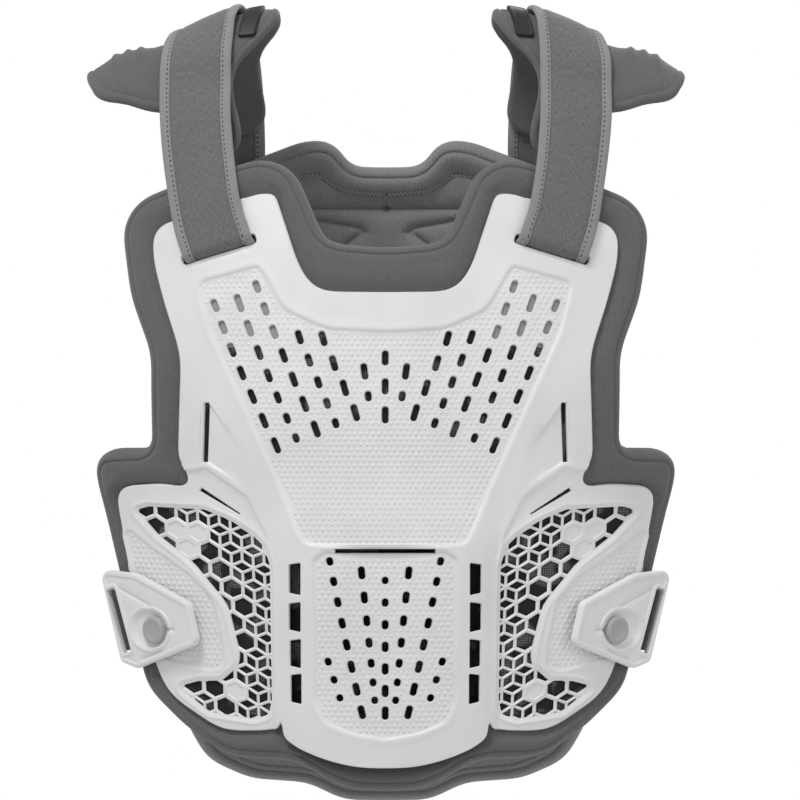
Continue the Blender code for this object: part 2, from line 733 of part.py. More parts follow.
def buckle_surface(side):
    """The buckle's flat plane, which touches the wing at the buckle's middle."""
    across, down = BUCKLE_MIDDLE
    x, level = across * CHEST_HALF_WIDTH * side, down * TORSO_LENGTH
    middle = CHEST.point(x, level)
    normal = CHEST.normal(x, level)
    outwards = Vector((0, 0, -1)).cross(normal).normalized() * side
    if outwards.x * side < 0:
        outwards = -outwards
    downwards = normal.cross(outwards)
    if downwards.z > 0:
        downwards = -downwards
    return Surface(lambda u, v: middle + outwards * u + downwards * v, 1 if side < 0 else -1)


def ellipse(x, y, half_x, half_y, sides):
    return [Vector((x + half_x * math.cos(2 * math.pi * i / sides),
                    y + half_y * math.sin(2 * math.pi * i / sides))) for i in range(sides)]


def make_buckle(side, word, shell_material, knob_material, strap_material):
    """A buckle plate with its slot and dish, the knob in the dish, and the waist strap."""
    plane = buckle_surface(side)
    if plane.normal(0, 0).y > 0:
        plane.outward = -plane.outward
    length = BUCKLE_LENGTH
    outline = rounded([(a * length, b * length, c * length) for a, b, c in BUCKLE_CORNERS])
    slot_x, slot_down, slot_turn = BUCKLE_SLOT
    turn = Matrix.Rotation(math.radians(slot_turn), 2)
    half_length = (WAIST_STRAP_WIDTH + WAIST_SLOT_SPARE) / 2
    half_width = WAIST_SLOT_WIDTH / 2
    slot_middle = Vector((slot_x * length, slot_down * length))
    slot = [slot_middle + turn @ Vector((a * half_width, b * half_length))
            for a, b in ((1, -1), (-1, -1), (-1, 1), (1, 1))]
    dish_x, dish_down, dish_wide, dish_high = (value * length for value in BUCKLE_DISH)
    rim_ring = ellipse(dish_x, dish_down, dish_wide, dish_high, 16)
    floor_ring = ellipse(dish_x, dish_down, dish_wide - BUCKLE_DISH_SLOPE,
                         dish_high - BUCKLE_DISH_SLOPE, 16)
    top = BUCKLE_STANDOFF + BUCKLE_WALL
    floor = top - BUCKLE_DISH_DEPTH

    def face(u, v):
        share = ((u - dish_x) / dish_wide) ** 2 + ((v - dish_down) / dish_high) ** 2
        return floor if share < 0.9 else top

    sheet("side_buckle_" + word, plane, outline, shell_material,
          (face, BUCKLE_STANDOFF, top, BUCKLE_STANDOFF), BUCKLE_LENGTH, holes=[slot],
          creases=[rim_ring + rim_ring[:1], floor_ring + floor_ring[:1]])

    knob_x, knob_down = (value * length for value in BUCKLE_KNOB)
    outward = plane.normal(0, 0)
    base = plane.lift(knob_x, knob_down, floor + KNOB_SEAT_GAP)
    build = bmesh.new()
    bmesh.ops.create_cone(build, cap_ends=True, segments=16, radius1=KNOB_RADIUS,
                          radius2=KNOB_RADIUS - KNOB_TAPER, depth=KNOB_HEIGHT)
    stand = Matrix.Translation(base + outward * KNOB_HEIGHT / 2) @ outward.to_track_quat("Z", "Y").to_matrix().to_4x4()
    build.transform(stand)
    points = [vertex.co.copy() for vertex in build.verts]
    faces = [[vertex.index for vertex in polygon.verts] for polygon in build.faces]
    build.free()
    finish_mesh("buckle_knob_" + word, points, faces, knob_material)

    slot_end = slot_middle + turn @ Vector((0, 0.01))
    slot_down_way = plane.lift(*slot_end, 0) - plane.lift(*slot_middle, 0)
    start = plane.lift(*slot_middle, BUCKLE_STANDOFF + BUCKLE_WALL * 0.7)
    stations = [(plane.lift(*slot_middle, height), slot_down_way)
                for height in (BUCKLE_STANDOFF + BUCKLE_WALL * 0.7, BUCKLE_STANDOFF, -BUCKLE_WALL * 0.7)]
    level = WAIST_DOWN * TORSO_LENGTH
    upright = Vector((0, 0, -1))
    for share, (across, depth) in enumerate(WAIST_FREE_RUN, 1):
        front = depth * (CHEST_FRONT + BACK_FRONT) - CHEST_FRONT
        middle = Vector((across * CHEST_HALF_WIDTH * side, front, 0))
        middle.z = start.z + (-level - start.z) * share / len(WAIST_FREE_RUN)
        way = slot_down_way.normalized().lerp(upright, (share / len(WAIST_FREE_RUN)) ** 3)
        stations.append((middle, way))
    for across in WAIST_ON_BACK:
        middle = BACK.lift(across * CHEST_HALF_WIDTH * side, level, WAIST_SEAT_GAP + WAIST_STRAP_WALL / 2)
        stations.append((middle, upright))
    band("waist_strap_" + word, stations, WAIST_STRAP_WIDTH, WAIST_STRAP_WALL, strap_material)


def build_protector():
    for item in list(bpy.data.objects):
        bpy.data.objects.remove(item, do_unlink=True)
    shell = make_material("shell_plastic", SHELL_WHITE, 0.38)
    pad = make_material("pad_foam", PAD_GREY, 0.90)
    strap = make_material("strap_cloth", STRAP_GREY, 0.90)
    mesh = make_material("vent_mesh_cloth", MESH_BLACK, 0.85)
    badge = make_material("badge_rubber", BADGE_BLACK, 0.60)
    knob = make_material("knob_plastic", KNOB_GREY, 0.40)
    make_front_shell(shell)
    make_vent_mesh(mesh)
    make_front_pad(pad)
    make_back_pad(pad)
    make_back_shell(shell)
    for side, word in ((1, "left"), (-1, "right")):
        make_shoulder(side, word, pad, strap, badge)
        make_buckle(side, word, shell, knob, strap)


build_protector()
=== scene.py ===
import math

import bpy
import numpy as np
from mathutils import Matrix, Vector
from mathutils.geometry import delaunay_2d_cdt
from mathutils.kdtree import KDTree


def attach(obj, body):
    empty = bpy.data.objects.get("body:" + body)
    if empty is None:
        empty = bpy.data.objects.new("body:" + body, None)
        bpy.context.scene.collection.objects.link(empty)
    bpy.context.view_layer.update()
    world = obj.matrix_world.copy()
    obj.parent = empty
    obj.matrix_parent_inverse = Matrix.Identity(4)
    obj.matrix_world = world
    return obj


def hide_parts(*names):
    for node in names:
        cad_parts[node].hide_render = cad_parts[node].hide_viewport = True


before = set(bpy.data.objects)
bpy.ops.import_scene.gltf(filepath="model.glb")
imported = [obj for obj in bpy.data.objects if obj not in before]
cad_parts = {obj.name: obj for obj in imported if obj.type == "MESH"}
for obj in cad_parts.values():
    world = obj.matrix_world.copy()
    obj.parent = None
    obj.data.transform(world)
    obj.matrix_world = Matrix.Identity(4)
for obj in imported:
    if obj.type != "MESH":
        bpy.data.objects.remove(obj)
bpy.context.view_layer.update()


# Camera, floor and studio light
# The camera stands level, straight in front of the chest, as a product photo is taken.
# The floor lies well below, because the protector is held up by its shoulders.
CAMERA_DISTANCE = 2.40
CAMERA_SIDE = 0.0106
CAMERA_HEIGHT = -0.255
CAMERA_LENS = 143.1
FLOOR_LEVEL = -1.60
FLOOR_SIZE = 12.0
FLOOR_WHITE = (0.92, 0.92, 0.92, 1.0)
SKY_WHITE = (1.0, 1.0, 1.0, 1.0)
SKY_STRENGTH = 1.0
SKY_LIGHT = 0.50


def add_camera():
    """The photo's view, with no shift and no depth of field."""
    data = bpy.data.cameras.new("photo_camera")
    data.lens = CAMERA_LENS
    data.sensor_width = 36.0
    data.clip_end = 100.0
    camera = bpy.data.objects.new("photo_camera", data)
    camera.location = (CAMERA_SIDE, -CAMERA_DISTANCE, CAMERA_HEIGHT)
    camera.rotation_euler = (math.pi / 2, 0.0, 0.0)
    bpy.context.collection.objects.link(camera)
    bpy.context.scene.camera = camera


def add_softbox(name, place, aim, size, power):
    """A square area light that faces the object."""
    data = bpy.data.lights.new(name, "AREA")
    data.size = size
    data.energy = power
    light = bpy.data.objects.new(name, data)
    light.location = place
    light.rotation_euler = (Vector(aim) - Vector(place)).to_track_quat("-Z", "Y").to_euler()
    bpy.context.collection.objects.link(light)


def add_floor():
    bpy.ops.object.select_all(action="DESELECT")
    bpy.ops.mesh.primitive_plane_add(size=FLOOR_SIZE, location=(0.0, 0.0, FLOOR_LEVEL))
    floor = bpy.context.object
    floor.name = "floor"
    finish = bpy.data.materials.new("floor_white")
    finish.use_nodes = True
    shader = finish.node_tree.nodes["Principled BSDF"]
    shader.inputs["Base Color"].default_value = FLOOR_WHITE
    shader.inputs["Roughness"].default_value = 0.9
    floor.data.materials.append(finish)


def set_sky():
    world = bpy.data.worlds.new("studio_white")
    world.use_nodes = True
    tree = world.node_tree
    glow = tree.nodes["Background"]
    glow.inputs["Color"].default_value = SKY_WHITE
    seen = tree.nodes.new("ShaderNodeLightPath")
    power = tree.nodes.new("ShaderNodeMapRange")
    power.inputs["To Min"].default_value = SKY_LIGHT
    power.inputs["To Max"].default_value = SKY_STRENGTH
    tree.links.new(seen.outputs["Is Camera Ray"], power.inputs["Value"])
    tree.links.new(power.outputs["Result"], glow.inputs["Strength"])
    bpy.context.scene.world = world
    bpy.context.scene.view_settings.view_transform = "Standard"


add_camera()
add_floor()
set_sky()
add_softbox("key_light", (-0.7, -1.3, 1.7), (0.0, 0.0, -0.25), 0.8, 28.0)
add_softbox("fill_light", (1.9, -1.2, 0.4), (0.0, 0.0, -0.25), 1.0, 5.0)
add_softbox("back_light", (0.7, 1.9, 1.1), (0.0, 0.0, -0.25), 1.0, 12.0)


# Front shell
# One moulded plate of white plastic, about 3 mm thick, with a turned edge, sunk and dimpled panels,
# rows of vents, a raised bib with ridge vents, and a honeycomb in each wing.
# It is laid on the curve of the chest, and its strap slots carry the shoulder straps.
HALF_WIDTH = 0.200
TORSO_LENGTH = 0.540
CHEST_FRONT = 0.122
BACK_FRONT = 0.118
SHELL_WALL = 0.0030
SHELL_RIM_TURN = 0.0019
LAYER_GAP = 0.0010
BIB_RISE = 0.0080
VENT_WIDTH = 0.0046
SIDES = ((1, "left"), (-1, "right"))
# How far the chest leans back above and below its most upright level, and how far it wraps round
CHEST_UPRIGHT = 0.593
CHEST_TOP_LEAN = 0.040
CHEST_FOOT_LEAN = 0.014
CHEST_WRAP = 0.050
WING_WRAP = 0.035
BACK_UPRIGHT = 0.370
BACK_TOP_LEAN = 0.020
BACK_FOOT_LEAN = 0.018
BACK_WRAP = 0.060

# Corner tables from the middle at the foot to the middle at the top.
# Columns: across in half widths, down in torso lengths, corner radius in half widths
SHELL_CORNERS = [
    (0.000, 0.960, 0.000), (0.100, 0.960, 0.220), (0.230, 0.9475, 0.220), (0.361, 0.925, 0.050),
    (0.373, 0.895, 0.011), (0.386, 0.914, 0.033), (0.599, 0.918, 0.146),
    (0.804, 0.872, 0.146), (0.854, 0.832, 0.109), (0.955, 0.708, 0.220),
    (1.005, 0.610, 0.146), (1.004, 0.592, 0.033), (0.819, 0.586, 0.109),
    (0.715, 0.593, 0.018), (0.715, 0.572, 0.029), (0.759, 0.559, 0.044),
    (0.744, 0.413, 0.220), (0.813, 0.337, 0.220), (0.855, 0.280, 0.146),
    (0.855, 0.237, 0.044), (0.408, 0.188, 0.033), (0.318, 0.288, 0.073),
    (0.259, 0.327, 0.102), (0.000, 0.328, 0.000),
]
UPPER_PANEL = [
    (0.000, 0.665, 0.000), (0.284, 0.665, 0.050), (0.312, 0.645, 0.109),
    (0.411, 0.565, 0.220), (0.526, 0.472, 0.220), (0.644, 0.378, 0.220),
    (0.688, 0.312, 0.036), (0.460, 0.290, 0.026), (0.432, 0.305, 0.073),
    (0.364, 0.349, 0.109), (0.212, 0.375, 0.146), (0.000, 0.379, 0.000),
]
BIB_PANEL = [
    (0.000, 0.923, 0.000), (0.122, 0.915, 0.109), (0.212, 0.901, 0.058),
    (0.252, 0.872, 0.073), (0.248, 0.805, 0.220), (0.258, 0.682, 0.029),
    (0.212, 0.671, 0.022), (0.000, 0.671, 0.000),
]
WING_WINDOW = [
    (0.930, 0.623, 0.012), (0.879, 0.618, 0.020), (0.664, 0.620, 0.060),
    (0.566, 0.634, 0.060), (0.489, 0.651, 0.060), (0.442, 0.668, 0.050),
    (0.420, 0.692, 0.060), (0.413, 0.873, 0.040), (0.424, 0.893, 0.030),
    (0.475, 0.900, 0.040), (0.647, 0.893, 0.060), (0.765, 0.861, 0.014),
    (0.686, 0.852, 0.040), (0.599, 0.850, 0.040), (0.536, 0.829, 0.050),
    (0.530, 0.812, 0.080), (0.575, 0.747, 0.150), (0.705, 0.692, 0.150),
    (0.841, 0.656, 0.080),
]
WING_PANEL = [
    (0.985, 0.640, 0.020), (0.868, 0.672, 0.040), (0.722, 0.706, 0.100),
    (0.626, 0.742, 0.120), (0.590, 0.800, 0.080), (0.586, 0.830, 0.030),
    (0.640, 0.838, 0.030), (0.845, 0.822, 0.040), (0.930, 0.720, 0.100),
]
# Columns: first vent across and down, last vent across and down, bow across and down,
# number of vents, first and last length in half widths, lean in degrees
VENT_ROWS = [
    (0.621, 0.345, 0.396, 0.533, 0.013, -0.003, 7, 0.048, 0.060, 22),
    (0.532, 0.342, 0.323, 0.523, -0.004, 0.007, 7, 0.066, 0.034, 20),
    (0.467, 0.320, 0.251, 0.511, 0.010, -0.003, 7, 0.046, 0.062, 20),
    (0.311, 0.388, 0.179, 0.503, -0.003, 0.003, 5, 0.052, 0.036, 18),
    (0.225, 0.390, 0.108, 0.489, 0.000, 0.000, 4, 0.055, 0.062, 16),
    (0.075, 0.434, 0.061, 0.467, 0.000, 0.000, 2, 0.058, 0.036, 8),
    (0.195, 0.686, 0.083, 0.886, 0.005, -0.004, 8, 0.030, 0.050, 13),
    (0.083, 0.701, 0.037, 0.870, -0.003, 0.008, 7, 0.046, 0.025, 6),
    (0.201, 0.819, 0.160, 0.867, 0.000, 0.000, 3, 0.029, 0.026, 18),
]
# Rows of vents on the middle line: first and last down, number, first and last length
MIDDLE_ROWS = [(0.416, 0.492, 3, 0.053, 0.060), (0.711, 0.887, 7, 0.026, 0.048)]
RIDGE_VENTS = [
    (0.688, 0.731, 0.338, 0.297), (0.740, 0.780, 0.338, 0.297),
    (0.789, 0.828, 0.335, 0.296), (0.835, 0.876, 0.332, 0.294),
]
RIDGE_VENT_SLANT = 0.0025
SIDE_SLITS = [
    (0.648, 0.476, 0.656, 0.556, 0.017, 0.017),
    (0.676, 0.593, 0.530, 0.625, 0.014, 0.004),
]
BIB_SLIT = (0.176, 0.672, 0.015)
FRONT_SLOT = (0.605, 0.271, 16.5)
REAR_SLOT = (0.605, 0.262, 8.0)
STRAP_WIDTH = 0.054
SLOT_HEIGHT = 0.0066
SLOT_RISE = 0.0010
SLOT_SPARE = 0.0012
SLOT_CORNER = 0.0020

# The wing's honeycomb: two steps of its lattice in metres, and a first cell
CELL_START = (0.771, 0.648)
CELL_STEP_IN = (-0.0163, 0.0017)
CELL_STEP_DOWN = (-0.0086, 0.0133)
CELL_RIB = 0.0016
# Where the cells are split into three by a web. Columns: across in half widths, down in torso lengths
WEBBED = [
    (0.790, 0.600), (0.765, 0.630), (0.660, 0.634), (0.600, 0.680), (0.560, 0.706), (0.507, 0.742),
    (0.496, 0.776), (0.510, 0.836), (0.520, 0.866), (0.565, 0.886), (0.700, 0.880), (0.760, 0.910),
    (0.380, 0.930), (0.380, 0.600),
]
# Cells with a floor. Columns: across in half widths, down in torso lengths
BLIND_CELLS = [(0.766, 0.645), (0.715, 0.650), (0.722, 0.676), (0.529, 0.836), (0.547, 0.858)]
BLIND_REACH = 0.0062


def smooth_step(share):
    held = np.clip(share, 0.0, 1.0)
    return held * held * (3.0 - 2.0 * held)


def chest(x, down):
    """The chest shell's outer surface."""
    side = np.abs(x) / HALF_WIDTH
    share = down / TORSO_LENGTH
    lean = np.where(share < CHEST_UPRIGHT, CHEST_TOP_LEAN * ((CHEST_UPRIGHT - share) / 0.4815) ** 2,
                    CHEST_FOOT_LEAN * ((share - CHEST_UPRIGHT) / 0.463) ** 2)
    wrap = CHEST_WRAP + WING_WRAP * smooth_step((share - 0.407) / 0.26)
    return np.stack([x, -CHEST_FRONT + lean + wrap * side ** 2.3, -down], axis=-1)


def back(x, down):
    """The back shell's outer surface."""
    side = np.abs(x) / HALF_WIDTH
    share = down / TORSO_LENGTH
    lean = np.where(share < BACK_UPRIGHT, BACK_TOP_LEAN * ((BACK_UPRIGHT - share) / 0.26) ** 2,
                    BACK_FOOT_LEAN * ((share - BACK_UPRIGHT) / 0.698) ** 2)
    return np.stack([x, BACK_FRONT - lean - BACK_WRAP * side ** 2.2, -down], axis=-1)


class Surface:
    """A curved surface that flat patterns are laid on, with its outward side."""

    def __init__(self, point, outward):
        self.point = point
        self.outward = outward

    def normal(self, x, down):
        nudge = 0.0005
        across = self.point(x + nudge, down) - self.point(x - nudge, down)
        along = self.point(x, down + nudge) - self.point(x, down - nudge)
        normal = np.cross(across, along)
        return normal / np.linalg.norm(normal, axis=-1, keepdims=True) * self.outward

    def lift(self, x, down, offset):
        x, down = np.asarray(x, float), np.asarray(down, float)
        return self.point(x, down) + self.normal(x, down) * np.asarray(offset, float)[..., None]


CHEST = Surface(chest, -1)
BACK = Surface(back, 1)


def placed(rows, length=TORSO_LENGTH):
    return [(a * HALF_WIDTH, b * length, r * HALF_WIDTH) for a, b, r in rows]


def rounded(corners, closed=True, arc=math.radians(12)):
    """Points of a path whose corners are arcs."""
    path = []
    count = len(corners)
    for index, (x, y, radius) in enumerate(corners):
        corner = Vector((x, y))
        if radius == 0 or (not closed and index in (0, count - 1)):
            path.append(corner)
            continue
        before = Vector(corners[index - 1][:2]) - corner
        after = Vector(corners[(index + 1) % count][:2]) - corner
        half = before.angle(after) / 2
        turn = math.pi - 2 * half
        cut = min(radius / math.tan(half), 0.47 * min(before.length, after.length))
        radius = cut * math.tan(half)
        middle = corner + (before.normalized() + after.normalized()).normalized() * radius / math.sin(half)
        start = corner + before.normalized() * cut - middle
        end = corner + after.normalized() * cut - middle
        sweep = math.copysign(turn, start.cross(end))
        steps = max(1, round(turn / arc))
        for step in range(steps + 1):
            angle = sweep * step / steps
            turned = Vector((start.x * math.cos(angle) - start.y * math.sin(angle),
                             start.x * math.sin(angle) + start.y * math.cos(angle)))
            path.append(middle + turned)
    return np.array(path)


def mirror_half(half):
    """A closed outline from the half of it that runs from the foot to the top."""
    other = half[::-1][half[::-1][:, 0] > 1e-6] * (-1.0, 1.0)
    return np.vstack([half, other])


def symmetric_outline(rows):
    return mirror_half(rounded(placed(rows), closed=False))


def both_sides(loop):
    loop = np.asarray(loop)
    return [loop, loop[::-1] * (-1.0, 1.0)]


def refine(loop, step, closed=True):
    path = []
    last = len(loop) if closed else len(loop) - 1
    for index in range(last):
        start, end = loop[index], loop[(index + 1) % len(loop)]
        parts = max(1, math.ceil(np.linalg.norm(end - start) / step))
        path += [start + (end - start) * part / parts for part in range(parts)]
    if not closed:
        path.append(loop[-1])
    return np.array(path)


def inside(points, loop):
    """Which points lie inside a closed outline."""
    x, y = points[:, 0], points[:, 1]
    result = np.zeros(len(points), bool)
    near = np.all((points >= loop.min(axis=0)) & (points <= loop.max(axis=0)), axis=1)
    if not near.any():
        return result
    x, y = x[near], y[near]
    odd = np.zeros(len(x), bool)
    for a, b in zip(loop, np.roll(loop, -1, axis=0)):
        if a[1] != b[1]:
            crosses = (a[1] > y) != (b[1] > y)
            odd ^= crosses & (x < a[0] + (y - a[1]) * (b[0] - a[0]) / (b[1] - a[1]))
    result[near] = odd
    return result


def depth_inside(points, loop):
    """Distance from each point to an outline, positive inside it and negative outside."""
    best = np.full(len(points), 1e9)
    for a, b in zip(loop, np.roll(loop, -1, axis=0)):
        run = b - a
        share = np.clip(((points - a) @ run) / max(run @ run, 1e-18), 0, 1)
        best = np.minimum(best, np.linalg.norm(points - a - share[:, None] * run, axis=1))
    return np.where(inside(points, loop), best, -best)


def inset(loop, distance):
    """The outline moved inwards, or outwards if the distance is negative."""
    before = loop - np.roll(loop, 1, axis=0)
    after = np.roll(loop, -1, axis=0) - loop
    before /= np.linalg.norm(before, axis=1, keepdims=True)
    after /= np.linalg.norm(after, axis=1, keepdims=True)
    mean = before + after
    mean /= np.linalg.norm(mean, axis=1, keepdims=True)
    area = 0.5 * np.sum(loop[:, 0] * np.roll(loop[:, 1], -1) - loop[:, 1] * np.roll(loop[:, 0], -1))
    normal = np.stack([-mean[:, 1], mean[:, 0]], axis=1) * math.copysign(1.0, area)
    lengthen = np.clip(1.0 / np.maximum(np.sum(mean * after, axis=1), 0.5), 1.0, 2.0)
    return loop + normal * distance * lengthen[:, None]


def make_piece(name, points, faces, finish, angle=32):
    """A mesh object at the origin, shaded smooth except over sharp angles."""
    mesh = bpy.data.meshes.new(name)
    mesh.from_pydata([tuple(p) for p in points], [], faces)
    mesh.validate()
    piece = bpy.data.objects.new(name, mesh)
    bpy.context.collection.objects.link(piece)
    mesh.materials.append(finish)
    bpy.ops.object.select_all(action="DESELECT")
    piece.select_set(True)
    bpy.context.view_layer.objects.active = piece
    bpy.ops.object.mode_set(mode="EDIT")
    bpy.ops.mesh.select_all(action="SELECT")
    bpy.ops.mesh.normals_make_consistent(inside=False)
    bpy.ops.object.mode_set(mode="OBJECT")
    bpy.ops.object.shade_smooth_by_angle(angle=math.radians(angle))
    return piece


def laid_wall(name, surface, outline, finish, top, foot, step, cuts=(), lines=(), angle=32):
    """A closed wall laid on a surface, cut through where cuts say.

    cuts holds (outline, window) pairs, and a cut counts only inside its window if it has one.
    lines are further paths that the mesh follows. top and foot give the offset of both faces from
    the flat points and from whether each lies at an edge.
    """
    points = []
    links = []

    def add_path(path, closed=True):
        first = len(points)
        points.extend(path)
        links.extend((first + i, first + i + 1) for i in range(len(path) - 1))
        if closed:
            links.append((len(points) - 1, first))

    outline = refine(outline, step)
    add_path(outline)
    windows = []
    for cut, window in cuts:
        add_path(cut)
        if window is not None and not any(window is other for other in windows):
            windows.append(window)
            add_path(refine(window, step))
    for line, closed in lines:
        add_path(line, closed)
    taken = KDTree(len(points))
    for index, (x, y) in enumerate(points):
        taken.insert((x, y, 0), index)
    taken.balance()
    low, high = outline.min(axis=0), outline.max(axis=0)
    grid = []
    for row in range(int((high[1] - low[1]) / (step * 0.87)) + 1):
        y = low[1] + step * (0.5 + 0.87 * row)
        for column in range(int((high[0] - low[0]) / step) + 2):
            x = low[0] + step * (column + 0.5 * (row % 2))
            if taken.find((x, y, 0))[2] > 0.55 * step:
                grid.append((x, y))
    grid = np.array(grid)
    grid = grid[inside(grid, outline)]
    points.extend(grid)
    flat, _, triangles = delaunay_2d_cdt([Vector(p) for p in points], links, [], 0, 1e-7)[:3]
    flat = np.array([tuple(p) for p in flat])
    triangles = np.array(triangles)
    middle = flat[triangles].mean(axis=1)
    keep = inside(middle, outline)
    for cut, window in cuts:
        gone = inside(middle, cut)
        if window is not None:
            gone &= inside(middle, window)
        keep &= ~gone
    triangles = triangles[keep]
    used, triangles = np.unique(triangles, return_inverse=True)
    triangles = triangles.reshape(-1, 3)
    flat = flat[used]
    pairs = np.vstack([triangles[:, [0, 1]], triangles[:, [1, 2]], triangles[:, [2, 0]]])
    known = {tuple(pair) for pair in pairs}
    rim = [(a, b) for a, b in known if (b, a) not in known]
    at_edge = np.zeros(len(flat), bool)
    at_edge[[a for a, _ in rim]] = True
    x, down = flat[:, 0], flat[:, 1]
    count = len(flat)
    solid = np.vstack([surface.lift(x, down, top(flat, at_edge)), surface.lift(x, down, foot(flat, at_edge))])
    faces = [tuple(t) for t in triangles.tolist()]
    faces += [(c + count, b + count, a + count) for a, b, c in triangles.tolist()]
    faces += [(int(b), int(a), int(a) + count, int(b) + count) for a, b in rim]
    piece = make_piece(name, solid, faces, finish, angle)
    layer = piece.data.uv_layers.new(name="pattern")
    corner = np.empty(len(piece.data.loops), dtype=np.int32)
    piece.data.loops.foreach_get("vertex_index", corner)
    flat_twice = np.vstack([flat, flat])
    layer.data.foreach_set("uv", flat_twice[corner].astype(np.float32).ravel())
    return piece


def turned_by(degrees):
    """The matrix that turns flat points by an angle."""
    angle = math.radians(degrees)
    return np.array([[math.cos(angle), -math.sin(angle)], [math.sin(angle), math.cos(angle)]])


def round_box(wide, high, radius):
    """A box round the middle, given by its half sizes, with arcs for corners."""
    corners = ((1, -1), (-1, -1), (-1, 1), (1, 1))
    return rounded([(a * wide, b * high, radius) for a, b in corners], arc=math.radians(30))


def oblong(x, down, length, lean, width=VENT_WIDTH):
    """A vent's outline with round-cornered ends, its top leaning outwards by lean degrees."""
    return round_box(width / 2, length / 2, width * 0.46) @ turned_by(lean).T + (x, down)


def vent_loops():
    """All the oblong vents of the upper panel and the bib."""
    loops = []
    for x0, d0, x1, d1, bow_x, bow_d, number, first, last, lean in VENT_ROWS:
        for index in range(number):
            share = index / (number - 1)
            bulge = 4 * share * (1 - share)
            x = (x0 + (x1 - x0) * share + bow_x * bulge) * HALF_WIDTH
            down = (d0 + (d1 - d0) * share + bow_d * bulge) * TORSO_LENGTH
            length = max((first + (last - first) * share) * HALF_WIDTH, 1.15 * VENT_WIDTH)
            loops += both_sides(oblong(x, down, length, lean))
    for first, last, number, short, long in MIDDLE_ROWS:
        for index in range(number):
            share = index / (number - 1)
            down = (first + (last - first) * share) * TORSO_LENGTH
            loops.append(oblong(0.0, down, (short + (long - short) * share) * HALF_WIDTH, 0.0))
    return loops


def bar(start, end, width_start, width_end):
    """A straight slit from start to end, its width changing along it."""
    run = (end - start) / np.linalg.norm(end - start)
    side = np.array([-run[1], run[0]])
    return np.array([start + side * width_start / 2, start - side * width_start / 2,
                     end - side * width_end / 2, end + side * width_end / 2])


def slot_loops(slot):
    """The strap slots on both sides."""
    across, down, tilt = slot
    shape = round_box(STRAP_WIDTH / 2 + SLOT_SPARE, SLOT_HEIGHT / 2, SLOT_CORNER) - (0.0, SLOT_RISE)
    return both_sides(shape @ turned_by(tilt).T + (across * HALF_WIDTH, down * TORSO_LENGTH))


def straight_openings():
    """Ridge vents, side slits, the slit over the bib and the strap slots."""
    loops = []
    size = np.array([HALF_WIDTH, TORSO_LENGTH])
    for top, foot, outer, inner in RIDGE_VENTS:
        corners = [(outer * size[0], (top + RIDGE_VENT_SLANT) * size[1], 0.0008),
                   (inner * size[0], top * size[1], 0.0008),
                   (inner * size[0], foot * size[1], 0.0008),
                   (outer * size[0], (foot - RIDGE_VENT_SLANT) * size[1], 0.0008)]
        loops += both_sides(rounded(corners, arc=math.radians(30)))
    for x0, d0, x1, d1, wide0, wide1 in SIDE_SLITS:
        ends = np.array([(x0, d0), (x1, d1)]) * size
        loops += both_sides(bar(ends[0], ends[1], wide0 * HALF_WIDTH, wide1 * HALF_WIDTH))
    across, down, width = BIB_SLIT
    ends = np.array([(-across, down), (across, down)]) * size
    loops.append(bar(ends[0], ends[1], width * HALF_WIDTH, width * HALF_WIDTH))
    return loops + slot_loops(FRONT_SLOT)


def honeycomb():
    """The wing's cells on the +X side, as (rib middle lines, openings, blind openings)."""
    start = np.array([CELL_START[0] * HALF_WIDTH, CELL_START[1] * TORSO_LENGTH])
    step_in, step_down = np.array(CELL_STEP_IN), np.array(CELL_STEP_DOWN)
    thirds = [(step_in + step_down) / 3, (2 * step_down - step_in) / 3, (step_down - 2 * step_in) / 3]
    corners = np.array(thirds + [-third for third in thirds])
    size = np.array([HALF_WIDTH, TORSO_LENGTH])
    webbed, floors = np.array(WEBBED) * size, np.array(BLIND_CELLS) * size
    lines, openings, blind = [], [], []
    for i in range(-14, 8):
        for j in range(-3, 14):
            middle = start + i * step_in + j * step_down
            reach = depth_inside(middle[None], wing_window)[0]
            if reach < -0.007:
                continue
            cell = middle + corners
            lines.append(cell)
            if inside(middle[None], webbed)[0]:
                for corner in (0, 2, 4):
                    rhombus = np.array([middle, cell[corner - 1], cell[corner], cell[(corner + 1) % 6]])
                    openings.append(inset(rhombus, CELL_RIB * 0.70))
                    lines.append(rhombus)
            elif np.min(np.linalg.norm(floors - middle, axis=1)) < BLIND_REACH:
                blind.append(inset(cell, CELL_RIB))
            else:
                openings.append(inset(cell, CELL_RIB))
    return lines, openings, blind


wing_window = rounded(placed(WING_WINDOW))


def bib_rise(flat):
    """How far the bib stands proud of the wings, from a crisp valley to a soft crest."""
    share = np.clip((0.400 - np.abs(flat[:, 0]) / HALF_WIDTH) / 0.122, 0.0, 1.0)
    side = 1.0 - (1.0 - share) ** 2
    start = smooth_step((flat[:, 1] / TORSO_LENGTH - 0.560) / 0.110)
    return BIB_RISE * side * start


upper_panel = symmetric_outline(UPPER_PANEL)
bib_panel = symmetric_outline(BIB_PANEL)
wing_panel = rounded(placed(WING_PANEL))
# The wings lie lower than the chest, and a scoop runs from the chest into each side slit.
# Columns: across in half widths, down in torso lengths
WING_STEP = [(0.398, 0.990), (1.200, 0.990), (1.200, 0.566), (0.700, 0.566), (0.652, 0.562),
             (0.500, 0.600), (0.428, 0.652), (0.402, 0.700)]
SCOOP = [(0.645, 0.472), (0.655, 0.556), (0.505, 0.590), (0.478, 0.556)]
SCOOP_DEPTH = 0.0019
wing_step = np.array(WING_STEP) * (HALF_WIDTH, TORSO_LENGTH)
scoop = np.array(SCOOP) * (HALF_WIDTH, TORSO_LENGTH)
